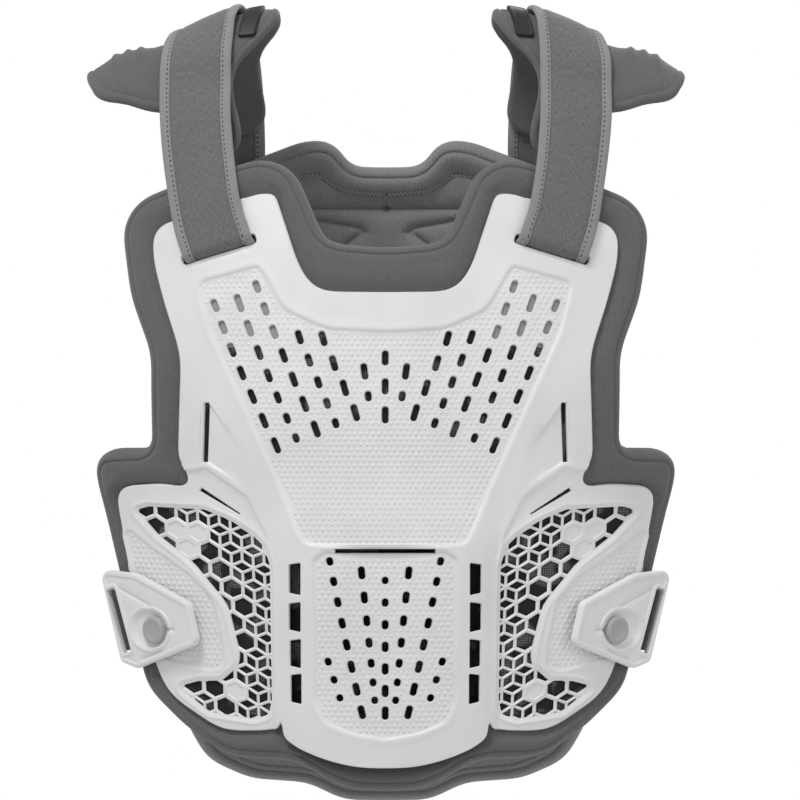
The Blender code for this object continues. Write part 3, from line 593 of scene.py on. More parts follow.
# Columns: outline, depth, slope width and rim height of each sunk area
SUNK = [(upper_panel, 0.0013, 0.0022, 0.0004), (bib_panel, 0.0015, 0.0020, 0.0005)]
SUNK += [(loop, 0.0008, 0.0016, 0.0005) for loop in both_sides(wing_panel)]
SUNK += [(loop, 0.0007, 0.0020, 0.0008) for loop in both_sides(inset(wing_window, -0.0022))]
SUNK += [(loop, 0.0012, 0.0018, 0.0003) for loop in both_sides(wing_step)]
cell_lines, cell_openings, blind_cells = honeycomb()
SUNK += [(side, 0.0009, 0.0006, 0.0) for cell in blind_cells for side in both_sides(cell)]
EDGE_DIP = 0.0011
COLLAR_RISE = 0.0004
COLLAR_REACH = 0.0013
vent_points = np.vstack([refine(loop, 0.0006) for loop in vent_loops()])
vent_tree = KDTree(len(vent_points))
for index, (x, y) in enumerate(vent_points):
    vent_tree.insert((x, y, 0), index)
vent_tree.balance()


def shell_relief(flat):
    """Height of the shell's outer face over the chest's curve."""
    height = bib_rise(flat)
    for loop, depth, slope, rim in SUNK:
        within = depth_inside(flat, loop)
        height = height - depth * smooth_step(within / slope)
        height = height + rim * np.exp(-((within + 0.0014) / 0.0013) ** 2)
    away = np.array([vent_tree.find((x, y, 0))[2] for x, y in flat])
    height = height + COLLAR_RISE * np.exp(-((away - COLLAR_REACH) / 0.0009) ** 2)
    for side in (1.0, -1.0):
        within = depth_inside(flat * (side, 1.0), scoop)
        ramp = np.clip((np.abs(flat[:, 0]) / HALF_WIDTH - 0.49) / 0.15, 0.0, 1.0)
        height = height - SCOOP_DEPTH * ramp * smooth_step(within / 0.0018)
    return height


def shell_top(flat, at_edge):
    return shell_relief(flat) - np.where(at_edge, EDGE_DIP, 0.0)


def softened(loop, reach, notch=None):
    """The same outline with its corners eased over a reach, except near a notch that far across."""
    ring = np.vstack([loop, loop[:1]])
    run = np.concatenate([[0], np.cumsum(np.linalg.norm(np.diff(ring, axis=0), axis=1))])
    step = reach / 4
    even = np.linspace(0, run[-1], int(run[-1] / step), endpoint=False)
    path = np.stack([np.interp(even, run, ring[:, axis]) for axis in (0, 1)], axis=1)
    eased = sum(np.roll(path, shift, axis=0) for shift in range(-4, 5)) / 9
    if notch is None:
        return eased
    return path + (eased - path) * (1.0 - np.exp(-((np.abs(path[:, :1]) - notch) / 0.008) ** 2))


shell_outline = softened(symmetric_outline(SHELL_CORNERS), 0.010, 0.0755)


def shell_foot(flat, at_edge):
    turned = depth_inside(flat, shell_outline) < 0.0025
    return bib_rise(flat) - SHELL_WALL - np.where(turned, SHELL_RIM_TURN, 0.0)


# Length of one band of the wave texture at a scale of one
WAVE_LENGTH = 0.314


def pattern_input(tree, scale):
    """Coordinates of the flat pattern, in units of one over the scale in metres."""
    place = tree.nodes.new("ShaderNodeUVMap")
    place.uv_map = "pattern"
    spread = tree.nodes.new("ShaderNodeMapping")
    spread.inputs["Scale"].default_value = (scale, scale, scale)
    tree.links.new(place.outputs["UV"], spread.inputs["Vector"])
    return spread.outputs["Vector"]


def object_input(tree, scale):
    place = tree.nodes.new("ShaderNodeTexCoord")
    spread = tree.nodes.new("ShaderNodeMapping")
    spread.inputs["Scale"].default_value = (scale, scale, scale)
    tree.links.new(place.outputs["Object"], spread.inputs["Vector"])
    return spread.outputs["Vector"]


def new_material(name, colour, roughness):
    finish = bpy.data.materials.new(name)
    finish.use_nodes = True
    shader = finish.node_tree.nodes["Principled BSDF"]
    shader.inputs["Base Color"].default_value = (*colour, 1.0)
    shader.inputs["Roughness"].default_value = roughness
    return finish, finish.node_tree, shader


def add_noise(tree, vector, scale, detail=3.0, roughness=0.55):
    noise = tree.nodes.new("ShaderNodeTexNoise")
    noise.inputs["Scale"].default_value = scale
    noise.inputs["Detail"].default_value = detail
    noise.inputs["Roughness"].default_value = roughness
    tree.links.new(vector, noise.inputs["Vector"])
    return noise.outputs["Fac"]


def mix_colours(tree, mask, dark, light):
    """A mix of two colours, each of them a constant or a socket."""
    mix = tree.nodes.new("ShaderNodeMix")
    mix.data_type = "RGBA"
    tree.links.new(mask, mix.inputs["Factor"])
    for name, colour in (("A", dark), ("B", light)):
        if isinstance(colour, tuple):
            mix.inputs[name].default_value = (*colour, 1.0)
        else:
            tree.links.new(colour, mix.inputs[name])
    return mix.outputs["Result"]


def add_math(tree, operation, *values):
    """A math node whose inputs are constants or sockets."""
    node = tree.nodes.new("ShaderNodeMath")
    node.operation = operation
    for socket, value in zip(node.inputs, values):
        if isinstance(value, float):
            socket.default_value = value
        else:
            tree.links.new(value, socket)
    return node.outputs["Value"]


def add_wave(tree, vector, pitch, direction="X", distortion=0.0, detail=2.0):
    """Soft bands at a pitch along one direction of the pattern."""
    wave = tree.nodes.new("ShaderNodeTexWave")
    wave.bands_direction = direction
    wave.inputs["Scale"].default_value = WAVE_LENGTH / pitch
    wave.inputs["Distortion"].default_value = distortion
    wave.inputs["Detail"].default_value = detail
    tree.links.new(vector, wave.inputs["Vector"])
    return wave.outputs["Fac"]


def spread_mask(tree, mask, low, high):
    ramp = tree.nodes.new("ShaderNodeMapRange")
    ramp.inputs["From Min"].default_value = low
    ramp.inputs["From Max"].default_value = high
    tree.links.new(mask, ramp.inputs["Value"])
    return ramp.outputs["Result"]


def add_bump(tree, shader, height, strength, distance):
    bump = tree.nodes.new("ShaderNodeBump")
    bump.inputs["Strength"].default_value = strength
    bump.inputs["Distance"].default_value = distance
    tree.links.new(height, bump.inputs["Height"])
    tree.links.new(bump.outputs["Normal"], shader.inputs["Normal"])


def shell_plastic():
    """White moulded plastic with a fine satin grain."""
    finish, tree, shader = new_material("shell_plastic", (0.83, 0.83, 0.82), 0.36)
    place = object_input(tree, 1.0)
    cloud = add_noise(tree, place, 18.0, 2.0)
    cloudy = mix_colours(tree, spread_mask(tree, cloud, 0.3, 0.7), (0.80, 0.80, 0.79), (0.86, 0.86, 0.85))
    tree.links.new(cloudy, shader.inputs["Base Color"])
    grain = add_noise(tree, place, 2600.0, 2.0)
    tree.links.new(spread_mask(tree, grain, -1.6, 3.2), shader.inputs["Roughness"])
    add_bump(tree, shader, grain, 0.12, 0.00015)
    return finish


white_plastic = shell_plastic()
shell_cuts = [(loop, None) for loop in vent_loops() + straight_openings()]
shell_lines = [(inset(loop, -ring), True) for loop, _ in shell_cuts for ring in (0.0007, 0.0014, 0.0023)]
for side, window in enumerate(both_sides(wing_window)):
    shell_cuts += [(both_sides(loop)[side], window) for loop in cell_openings]
    shell_lines += [(both_sides(loop)[side], True) for loop in cell_lines]
shell_lines += [(refine(inset(shell_outline, ring), 0.006), True) for ring in (0.0009, 0.0022, 0.0035)]
for loop, depth, slope, rim in SUNK:
    fine = refine(loop, 0.004)
    shares, rings = ((0.0, 0.33, 0.66, 1.0), (0.0014, 0.0028)) if rim else ((0.0, 1.0), ())
    shell_lines += [(inset(fine, slope * share), True) for share in shares]
    shell_lines += [(inset(fine, -ring), True) for ring in rings]
for loop in both_sides(scoop):
    fine = refine(loop, 0.003)
    shell_lines += [(fine, True), (inset(fine, 0.0009), True), (inset(fine, 0.0018), True)]
front_shell = laid_wall("front_shell_plate", CHEST, shell_outline, white_plastic, shell_top, shell_foot,
                        0.0055, cuts=shell_cuts, lines=shell_lines)
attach(front_shell, "root")
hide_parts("front_shell")


def add_domes(name, surface, regions, relief, clear_of, finish, pitch=0.0044, radius=0.0014, height=0.00055):
    """Rows of small domes that fill the regions, clear of the openings."""
    sides = 8
    rings = ((1.0, 0.0), (0.80, 0.62), (0.45, 0.93))
    spots = []
    for region, margin in regions:
        low, high = region.min(axis=0), region.max(axis=0)
        rows = int((high[1] - low[1]) / (pitch * 0.866)) + 1
        columns = int((high[0] - low[0]) / pitch) + 2
        middle = 0.5 * (low[0] + high[0])
        grid = np.array([(middle + pitch * (c - columns // 2 + 0.5 * (r % 2)), low[1] + pitch * 0.866 * r)
                         for r in range(rows) for c in range(columns + 1)])
        spots.append(grid[depth_inside(grid, region) > margin])
    spots = np.vstack(spots)
    for loop in clear_of:
        low, high = loop.min(axis=0) - 0.003, loop.max(axis=0) + 0.003
        near = np.all((spots > low) & (spots < high), axis=1)
        blocked = np.zeros(len(spots), bool)
        blocked[near] = depth_inside(spots[near], loop) > -0.0022
        spots = spots[~blocked]
    turn = np.arange(sides) * 2 * math.pi / sides
    base = relief(spots)
    layers = []
    for wide, tall in rings:
        x = spots[:, 0, None] + radius * wide * np.cos(turn)
        y = spots[:, 1, None] + radius * wide * np.sin(turn)
        layers.append(surface.lift(x, y, np.repeat((base + height * tall - 0.00005)[:, None], sides, axis=1)))
    points = np.stack(layers, axis=1).reshape(len(spots), -1, 3)
    tips = surface.lift(spots[:, 0], spots[:, 1], base + height)[:, None]
    points = np.concatenate([points, tips], axis=1)
    size = points.shape[1]
    faces = []
    for spot in range(len(spots)):
        first = spot * size
        for ring in range(len(rings)):
            for side in range(sides):
                a, b = first + ring * sides + side, first + ring * sides + (side + 1) % sides
                if ring == len(rings) - 1:
                    faces.append((b, a, first + size - 1))
                else:
                    faces.append((b, a, a + sides, b + sides))
    mesh = bpy.data.meshes.new(name)
    mesh.from_pydata(points.reshape(-1, 3).tolist(), [], faces)
    mesh.shade_smooth()
    mesh.materials.append(finish)
    piece = bpy.data.objects.new(name, mesh)
    bpy.context.collection.objects.link(piece)
    return piece


dimpled = [(upper_panel, 0.0035), (bib_panel, 0.0030)] + [(loop, 0.0026) for loop in both_sides(wing_panel)]
dimples = add_domes("front_shell_dimples", CHEST, dimpled, shell_relief,
                    [loop for loop, window in shell_cuts if window is None], white_plastic)
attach(dimples, "root")


# Vent mesh
# One sheet of black knitted spacer mesh, about 1 mm thick, glued to the shell's inner face.
# It shows through the vents and the honeycomb, its near-black partly the mesh's own colour and partly painted
# shade inside the vents.
MESH_WALL = 0.0012
MESH_CORNERS = [
    (0.000, 0.935, 0.000), (0.300, 0.900, 0.060), (0.600, 0.892, 0.100),
    (0.765, 0.850, 0.080), (0.900, 0.700, 0.100), (0.940, 0.615, 0.040),
    (0.640, 0.610, 0.030), (0.690, 0.440, 0.050), (0.640, 0.396, 0.010),
    (0.420, 0.346, 0.010), (0.270, 0.350, 0.110), (0.000, 0.352, 0.000),
]
MESH_PITCH = 0.0017


def mesh_cloth_and_painted_shade():
    """Black mesh with rows of round holes painted near-black as painted shade, its threads lighter in patches.
    """
    finish, tree, shader = new_material("vent_mesh_cloth", (0.014, 0.014, 0.014), 0.85)
    holes = tree.nodes.new("ShaderNodeTexVoronoi")
    holes.inputs["Scale"].default_value = 1.0
    holes.inputs["Randomness"].default_value = 0.15
    tree.links.new(pattern_input(tree, 1.0 / MESH_PITCH), holes.inputs["Vector"])
    mask = spread_mask(tree, holes.outputs["Distance"], 0.25, 0.45)
    patches = spread_mask(tree, add_noise(tree, object_input(tree, 1.0), 60.0, 1.0), 0.52, 0.60)
    threads = mix_colours(tree, patches, (0.012, 0.012, 0.012), (0.150, 0.150, 0.145))
    # Painted shade: the holes are painted almost black for the dark behind the mesh, and the threads'
    # near-black is partly painted shade in the vents.
    tree.links.new(mix_colours(tree, mask, (0.004, 0.004, 0.004), threads), shader.inputs["Base Color"])
    add_bump(tree, shader, mask, 0.6, 0.0004)
    return finish


def level(height):
    return lambda flat, at_edge: np.full(len(flat), height)


mesh_sheet = laid_wall("vent_mesh_sheet", CHEST, symmetric_outline(MESH_CORNERS), mesh_cloth_and_painted_shade(),
                       level(-SHELL_WALL - LAYER_GAP), level(-SHELL_WALL - LAYER_GAP - MESH_WALL), 0.010)
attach(mesh_sheet, "root")
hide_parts("vent_mesh")


# Front pad
# A moulded foam pad, 12 mm thick, under a stretched grey knit, pressed thin in a crease just inside
# its rolled edge. The shell is fastened on its front.
PAD_WALL = 0.0120
PAD_ROUND = 0.0095
PAD_FOOT_ROUND = 0.0065
PAD_SWELL = 0.0065
PAD_CREASE = 0.0070
PAD_CORNERS = [
    (0.000, 0.993, 0.000), (0.140, 0.991, 0.220), (0.339, 0.952, 0.044),
    (0.576, 0.952, 0.146), (0.739, 0.915, 0.073), (0.890, 0.866, 0.109),
    (0.913, 0.834, 0.109), (1.032, 0.665, 0.220), (1.092, 0.580, 0.109),
    (1.090, 0.549, 0.051), (0.863, 0.545, 0.022), (0.862, 0.407, 0.146),
    (0.943, 0.330, 0.220), (0.982, 0.233, 0.109), (0.918, 0.198, 0.073),
    (0.767, 0.177, 0.109), (0.448, 0.143, 0.109), (0.342, 0.162, 0.066),
    (0.224, 0.262, 0.073), (0.000, 0.269, 0.000),
]
PAD_OVERHANG = 0.0020


def knit_cloth(name, dark, light, rib=0.0011):
    """Stretched knit with fine ribs down it and a little cloudy wear."""
    finish, tree, shader = new_material(name, light, 0.92)
    place = pattern_input(tree, 1.0)
    ribs = add_wave(tree, place, rib, distortion=0.25, detail=1.0)
    loops = add_wave(tree, place, rib * 0.8, "Y")
    fuzz = add_noise(tree, object_input(tree, 1.0), 420.0, 4.0)
    weave = add_math(tree, "MULTIPLY", add_math(tree, "MULTIPLY_ADD", loops, 0.35, ribs), fuzz)
    mask = spread_mask(tree, weave, 0.0, 0.8)
    tree.links.new(mix_colours(tree, mask, dark, light), shader.inputs["Base Color"])
    shader.inputs["Sheen Weight"].default_value = 0.25
    shader.inputs["Sheen Roughness"].default_value = 0.5
    add_bump(tree, shader, weave, 0.55, 0.0005)
    return finish


def roll(distance, radius):
    """How far a rounded edge falls away at a distance inside it."""
    near = np.clip(1.0 - distance / radius, 0.0, 1.0)
    return radius * (1.0 - np.sqrt(1.0 - near ** 2))


def crease(distance, depth, width):
    return depth * np.exp(-(distance / width) ** 2)


def path_distance(flat, path):
    best = np.full(len(flat), 1e9)
    for a, b in zip(path[:-1], path[1:]):
        run = b - a
        share = np.clip(((flat - a) @ run) / max(run @ run, 1e-18), 0, 1)
        best = np.minimum(best, np.linalg.norm(flat - a - share[:, None] * run, axis=1))
    return best


def edge_rings(loop, insets, step=0.006):
    fine = refine(loop, step)
    return [(inset(fine, distance), True) for distance in insets]


pad_outline = inset(softened(symmetric_outline(PAD_CORNERS), 0.010), -PAD_OVERHANG)
PAD_TOP = -SHELL_WALL - MESH_WALL - 2 * LAYER_GAP


def front_pad_top(flat, at_edge):
    depth = depth_inside(flat, pad_outline)
    out = -depth_inside(flat, shell_outline)
    swell = PAD_SWELL * smooth_step((out + 0.001) / 0.010)
    return PAD_TOP + swell - roll(depth, PAD_ROUND) - crease(depth - PAD_CREASE, 0.0016, 0.0011)


def front_pad_foot(flat, at_edge):
    depth = depth_inside(flat, pad_outline)
    return PAD_TOP - PAD_WALL + roll(depth, PAD_FOOT_ROUND) + crease(depth - 0.012, 0.0015, 0.0018)


pad_knit = knit_cloth("pad_knit", (0.098, 0.099, 0.095), (0.172, 0.174, 0.167), 0.0010)
ring_depths = (0.0003, 0.0010, 0.0022, 0.0037, 0.0053, 0.0062, 0.0070, 0.0079, 0.0092, 0.0112, 0.0140, 0.0170)
front_pad = laid_wall("front_pad_foam", CHEST, pad_outline, pad_knit, front_pad_top, front_pad_foot, 0.0065,
                      lines=edge_rings(pad_outline, ring_depths), angle=60)
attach(front_pad, "root")
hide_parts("front_pad")


# Back pad
# The same foam and knit over the back, the knit coloured lighter as painted light on its shaded inner face.
# Its inner face has a rolled rim with a piped line, a sewn yoke seam and pressed grooves, which show through
# the neck opening.
BACK_LAYER_GAP = 0.0014
BACK_PAD_CORNERS = [
    (0.000, 1.052, 0.000), (0.169, 1.051, 0.109), (0.314, 1.025, 0.060),
    (0.540, 1.017, 0.109), (0.706, 0.988, 0.109), (0.779, 0.940, 0.146),
    (0.930, 0.800, 0.220), (1.030, 0.660, 0.220), (1.050, 0.560, 0.080),
    (0.870, 0.530, 0.040), (0.860, 0.400, 0.220), (0.930, 0.280, 0.220),
    (0.940, 0.200, 0.100), (0.740, 0.155, 0.109), (0.520, 0.123, 0.146),
    (0.325, 0.095, 0.073), (0.216, 0.095, 0.051), (0.145, 0.132, 0.051),
    (0.000, 0.133, 0.000),
]
YOKE_SEAM = [(0.400, 0.165, 0.0), (0.375, 0.144, 0.03), (0.275, 0.139, 0.04), (0.228, 0.152, 0.03),
             (0.170, 0.162, 0.05), (0.000, 0.168, 0.0)]
# Depth and half width of the seam and of the grooves
YOKE_SEAM_PRESS = (0.0016, 0.0014)
YOKE_GROOVE_PRESS = (0.0042, 0.0030)
YOKE_ROLL = 0.0055
YOKE_ROLL_WIDTH = 0.0240
YOKE_GROOVES = [
    [(0.287, 0.207, 0.0), (0.110, 0.218, 0.02), (0.090, 0.225, 0.0)],
    [(0.169, 0.243, 0.0), (0.118, 0.230, 0.0)],
    [(0.420, 0.183, 0.0), (0.300, 0.190, 0.10), (0.120, 0.190, 0.10), (0.000, 0.190, 0.0)],
]
back_pad_outline = inset(softened(symmetric_outline(BACK_PAD_CORNERS), 0.010), -0.0015)
yoke_seams = [rounded(placed(YOKE_SEAM), closed=False)]
yoke_grooves = [rounded(placed(rows), closed=False) for rows in YOKE_GROOVES]
yoke_paths = [path * (side, 1.0) for path in yoke_seams + yoke_grooves for side in (1.0, -1.0)]
BACK_PAD_TOP = -SHELL_WALL - BACK_LAYER_GAP


def back_pad_top(flat, at_edge):
    return BACK_PAD_TOP - roll(depth_inside(flat, back_pad_outline), 0.0055)


def back_pad_foot(flat, at_edge):
    depth = depth_inside(flat, back_pad_outline)
    height = BACK_PAD_TOP - PAD_WALL + roll(depth, 0.0055) + crease(depth - 0.0070, 0.0020, 0.0011)
    low = smooth_step((flat[:, 1] / TORSO_LENGTH - 0.30) / 0.10)
    height = height + low * crease(depth - 0.0115, 0.0014, 0.0012)
    height = height - (1 - low) * YOKE_ROLL * np.sin(math.pi * np.clip(depth / YOKE_ROLL_WIDTH, 0, 1)) ** 0.8
    for index, path in enumerate(yoke_paths):
        depth, width = YOKE_SEAM_PRESS if index < 2 else YOKE_GROOVE_PRESS
        height = height + crease(path_distance(flat, path), depth, width)
    return height


ring_depths = (0.0003, 0.0011, 0.0024, 0.0042, 0.0062, 0.0070, 0.0082, 0.0100, 0.0115, 0.0130)
back_lines = edge_rings(back_pad_outline, ring_depths)
back_lines += [(refine(path, 0.004, closed=False), False) for path in yoke_paths]
for path in yoke_paths:
    for shift in (-0.0030, -0.0015, 0.0015, 0.0030):
        back_lines.append((refine(path + (0.0, shift), 0.005, closed=False), False))
# Painted light: a lighter copy of the front pad's knit, brightening the inner back face that the lamps leave
# in shade.
liner_knit_painted_light = knit_cloth("back_liner_knit", (0.190, 0.193, 0.184), (0.330, 0.334, 0.320), 0.0012)
back_pad = laid_wall("back_pad_foam", BACK, back_pad_outline, liner_knit_painted_light, back_pad_top, back_pad_foot, 0.0070,
                     lines=back_lines, angle=60)
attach(back_pad, "root")
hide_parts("back_pad")


# Yoke stitches
# A zigzag of pale thread along the yoke seam on the back pad's inner face.
STITCH_STEP = 0.0032
STITCH_SWAY = 0.0013
THREAD_RADIUS = 0.00042
thread_finish = new_material("seam_thread", (0.42, 0.42, 0.40), 0.8)[0]
seam = yoke_seams[0]
run = np.concatenate([[0], np.cumsum(np.linalg.norm(np.diff(seam, axis=0), axis=1))])
even = np.arange(0.0, run[-1], STITCH_STEP / 2)
spots = np.stack([np.interp(even, run, seam[:, axis]) for axis in (0, 1)], axis=1)
way = np.gradient(spots, axis=0)
way /= np.linalg.norm(way, axis=1, keepdims=True)
sway = STITCH_SWAY * np.where(np.arange(len(spots)) % 2, 1.0, -1.0)
spots = spots + np.stack([-way[:, 1], way[:, 0]], axis=1) * sway[:, None]
for side, word in SIDES:
    flat = spots * (side, 1.0)
    line = BACK.lift(flat[:, 0], flat[:, 1], back_pad_foot(flat, None) - 0.0004)
    points, faces = [], []
    for start, end in zip(line[:-1], line[1:]):
        along = (end - start) / np.linalg.norm(end - start)
        across = np.cross(along, (0.0, 1.0, 0.0))
        across /= np.linalg.norm(across)
        outward = np.cross(across, along)
        first = len(points)
        for middle in (start, end):
            for corner in range(6):
                turn = corner * math.pi / 3
                points.append(middle + (across * math.cos(turn) + outward * math.sin(turn)) * THREAD_RADIUS)
        faces += [(first + c, first + (c + 1) % 6, first + 6 + (c + 1) % 6, first + 6 + c) for c in range(6)]
        faces += [tuple(first + c for c in range(5, -1, -1)), tuple(first + 6 + c for c in range(6))]
    stitches = make_piece("yoke_stitches_" + word, points, faces, thread_finish, 60)
    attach(stitches, "root")


# Back shell
# A second plate of the same white plastic, 3 mm thick, with a turned edge, one large sunk panel of
# dimples and a slot for each strap's rear end.
BACK_SHELL_CORNERS = [
    (0.000, 0.990, 0.000), (0.300, 0.975, 0.220), (0.640, 0.940, 0.146),
    (0.820, 0.800, 0.220), (0.920, 0.660, 0.146), (0.920, 0.590, 0.060),
    (0.765, 0.560, 0.060), (0.740, 0.400, 0.220), (0.840, 0.290, 0.146),
    (0.830, 0.225, 0.060), (0.450, 0.165, 0.073), (0.300, 0.165, 0.110),
    (0.130, 0.200, 0.110), (0.000, 0.200, 0.000),
]
BACK_PANEL = [
    (0.000, 0.900, 0.000), (0.360, 0.880, 0.150), (0.420, 0.700, 0.300), (0.520, 0.480, 0.300),
    (0.600, 0.340, 0.060), (0.360, 0.300, 0.100), (0.000, 0.300, 0.000),
]
back_shell_outline = symmetric_outline(BACK_SHELL_CORNERS)
back_panel = symmetric_outline(BACK_PANEL)


def back_relief(flat):
    within = depth_inside(flat, back_panel)
    return 0.0006 * np.exp(-((within + 0.0020) / 0.0018) ** 2) - 0.0015 * smooth_step(within / 0.0024)


def back_shell_top(flat, at_edge):
    return back_relief(flat) - np.where(at_edge, EDGE_DIP, 0.0)


back_cuts = [(loop, None) for loop in slot_loops(REAR_SLOT)]
back_shell_lines = [(inset(loop, -EDGE_DIP), True) for loop, _ in back_cuts]
back_shell_lines += edge_rings(back_shell_outline, (0.0009, 0.0030))
back_shell_lines += edge_rings(back_panel, (-0.0040, -0.0020, 0.0, 0.0012, 0.0024))
back_shell = laid_wall("back_shell_plate", BACK, back_shell_outline, white_plastic, back_shell_top,
                       level(-SHELL_WALL), 0.0075, cuts=back_cuts, lines=back_shell_lines)
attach(back_shell, "root")
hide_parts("back_shell")
back_dimples = add_domes("back_shell_dimples", BACK, [(back_panel, 0.0040)], back_relief, [], white_plastic,
                         pitch=0.0062, radius=0.0018, height=0.0008)
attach(back_dimples, "root")


# Shoulder pads
# One moulded foam pad over each shoulder, 9 mm thick under the same knit. Three pressed ribs cross
# its outer wing, and a thin lip runs round its edge.
SHOULDER_ARCH_LENGTH = 0.130
SHOULDER_PAD_WALL = 0.0090
SHOULDER_CROWN = [
    (0.400, 0.0415), (0.480, 0.0395), (0.580, 0.0350), (0.720, 0.0245), (0.830, 0.0125),
    (1.000, 0.0070), (1.135, -0.0100),
]
SHOULDER_PAD_CORNERS = [
    (0.402, -0.240, 0.050), (0.470, -0.440, 0.050), (0.582, -0.560, 0.050),
    (0.556, -0.780, 0.100), (0.500, -0.960, 0.030), (0.740, -0.960, 0.060),
    (0.760, -0.660, 0.060), (0.860, -0.630, 0.100), (1.080, -0.470, 0.100),
    (1.135, -0.150, 0.100), (1.120, 0.180, 0.120), (0.960, 0.400, 0.200),
    (0.760, 0.500, 0.080), (0.740, 0.950, 0.060), (0.455, 0.950, 0.030),
    (0.505, 0.500, 0.100), (0.402, 0.260, 0.050),
]
SHOULDER_RIBS = (0.922, 0.970, 1.016)


def crown(share):
    """Height of the shoulder pads' crown, eased between the rows of its table."""
    across, height = np.array(SHOULDER_CROWN).T
    return sum(np.interp(share + shift, across, height) for shift in (-0.050, -0.025, 0.0, 0.025, 0.050)) / 5


def shoulder(x, along):
    """The shoulder pads' outer surface, with along measured over the shoulder from the crown."""
    turn = along / SHOULDER_ARCH_LENGTH * math.pi / 2
    front = turn < 0
    depth = np.where(front, -0.053, 0.078) * np.abs(np.sin(turn)) ** 0.85
    share = np.abs(x) / HALF_WIDTH
    return np.stack([x, depth, crown(share) - np.where(front, 0.118, 0.092) * (1 - np.cos(turn))], axis=-1)


SHOULDER = Surface(shoulder, 1)


def shoulder_loop(rows, side):
    return rounded(placed(rows, SHOULDER_ARCH_LENGTH)) * (side, 1.0)


for side, word in SIDES:
    outline = softened(shoulder_loop(SHOULDER_PAD_CORNERS, side), 0.014)

    def shoulder_top(flat, at_edge):
        depth = depth_inside(flat, outline)
        fade = smooth_step((0.046 - np.abs(flat[:, 1])) / 0.020)
        share = np.abs(flat[:, 0]) / HALF_WIDTH
        ribs = sum(np.exp(-((share - middle) / 0.015) ** 2) for middle in SHOULDER_RIBS)
        return 0.0026 * fade * ribs - roll(depth, 0.0042) - crease(depth - 0.0056, 0.0010, 0.0009) - 0.0006

    def shoulder_foot(flat, at_edge):
        return -SHOULDER_PAD_WALL + roll(depth_inside(flat, outline), 0.0042)

    rib_lines = []
    for middle in SHOULDER_RIBS:
        for shift in (-0.0034, -0.0017, 0.0, 0.0017, 0.0034):
            x = side * (middle * HALF_WIDTH + shift)
            rib_lines.append((refine(np.array([(x, -0.044), (x, 0.044)]), 0.004, closed=False), False))
    rings = (0.0003, 0.0010, 0.0022, 0.0036, 0.0047, 0.0056, 0.0066)
    pad = laid_wall("shoulder_foam_" + word, SHOULDER, outline, pad_knit, shoulder_top, shoulder_foot, 0.0045,
                    lines=edge_rings(outline, rings, 0.005) + rib_lines, angle=60)
    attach(pad, "root")
    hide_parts("shoulder_pad_" + word)


# Shoulder badges
# A small moulded rubber tab on the inner end of each shoulder pad, left blank.
BADGE_WALL = 0.0015
STRAP_SEAT_GAP = 0.0012
BADGE_CORNERS = [
    (0.452, -0.050, 0.012), (0.520, -0.050, 0.012), (0.552, -0.390, 0.014), (0.486, -0.405, 0.014),
]
badge_rubber = new_material("badge_rubber", (0.016, 0.016, 0.016), 0.50)[0]
for side, word in SIDES:
    outline = shoulder_loop(BADGE_CORNERS, side)

    def badge_top(flat, at_edge):
        depth = depth_inside(flat, outline)
        sunk = 0.0004 * smooth_step((depth - 0.0014) / 0.0006)
        return STRAP_SEAT_GAP + BADGE_WALL - roll(depth, 0.0008) - sunk

    badge = laid_wall("badge_tab_" + word, SHOULDER, outline, badge_rubber, badge_top, level(-0.0002), 0.004,
                      lines=edge_rings(outline, (0.0004, 0.0009, 0.0014, 0.0020), 0.004))
    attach(badge, "root")
    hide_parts("shoulder_badge_" + word)


# Shoulder straps
# A padded strap 54 mm wide over each shoulder, brushed cloth with a ribbed binding sewn on both
# edges. Each end is folded down through a slot in its shell.
STRAP_WALL = 0.0040
BINDING_WIDTH = 0.0078
BINDING_RIB = 0.0012
STITCH_PITCH = 0.0038
STRAP_OVER_SHOULDER = [
    (-0.560, 0.703), (-0.450, 0.701), (-0.350, 0.697), (-0.260, 0.691), (-0.180, 0.683),
    (-0.110, 0.672), (-0.050, 0.664), (0.000, 0.656), (0.060, 0.650), (0.140, 0.642),
    (0.240, 0.634), (0.360, 0.626), (0.500, 0.618), (0.650, 0.613), (0.800, 0.610), (0.970, 0.608),
]
STRAP_DOWN_CHEST = [(0.660, 0.195), (0.6385, 0.233)]
STRAP_DOWN_BACK = [(0.606, 0.170), (0.605, 0.215)]
# Half of the strap's section. Columns: across from the middle and half thickness, in metres
STRAP_SECTION = [
    (0.0270, 0.0000), (0.0268, 0.0010), (0.0260, 0.0017), (0.0245, 0.0021), (0.0225, 0.0021),
    (0.0205, 0.0019), (0.0195, 0.0016), (0.0191, 0.0009), (0.0185, 0.0009), (0.0174, 0.0014),
    (0.0150, 0.0018), (0.0120, 0.0019), (0.0090, 0.0019), (0.0060, 0.0020), (0.0030, 0.0020),
]


def spline(middles, ways, step=0.004):
    """A smooth run through the middles, and the width directions that go with it."""
    rows = np.hstack([middles, ways])
    run = np.concatenate([[0], np.cumsum(np.linalg.norm(np.diff(rows[:, :3], axis=0), axis=1))])
    slope = np.gradient(rows, run, axis=0)
    path = []
    for index in range(len(rows) - 1):
        length = run[index + 1] - run[index]
        parts = max(2, math.ceil(length / step))
        for part in range(parts):
            t = part / parts
            bend = (t ** 3 - 2 * t * t + t) * slope[index] + (t ** 3 - t * t) * slope[index + 1]
            path.append((2 * t ** 3 - 3 * t * t + 1) * rows[index] + (3 * t * t - 2 * t ** 3) * rows[index + 1]
                        + length * bend)
    path = np.array(path + [rows[-1]])
    return path[:, :3], path[:, 3:]


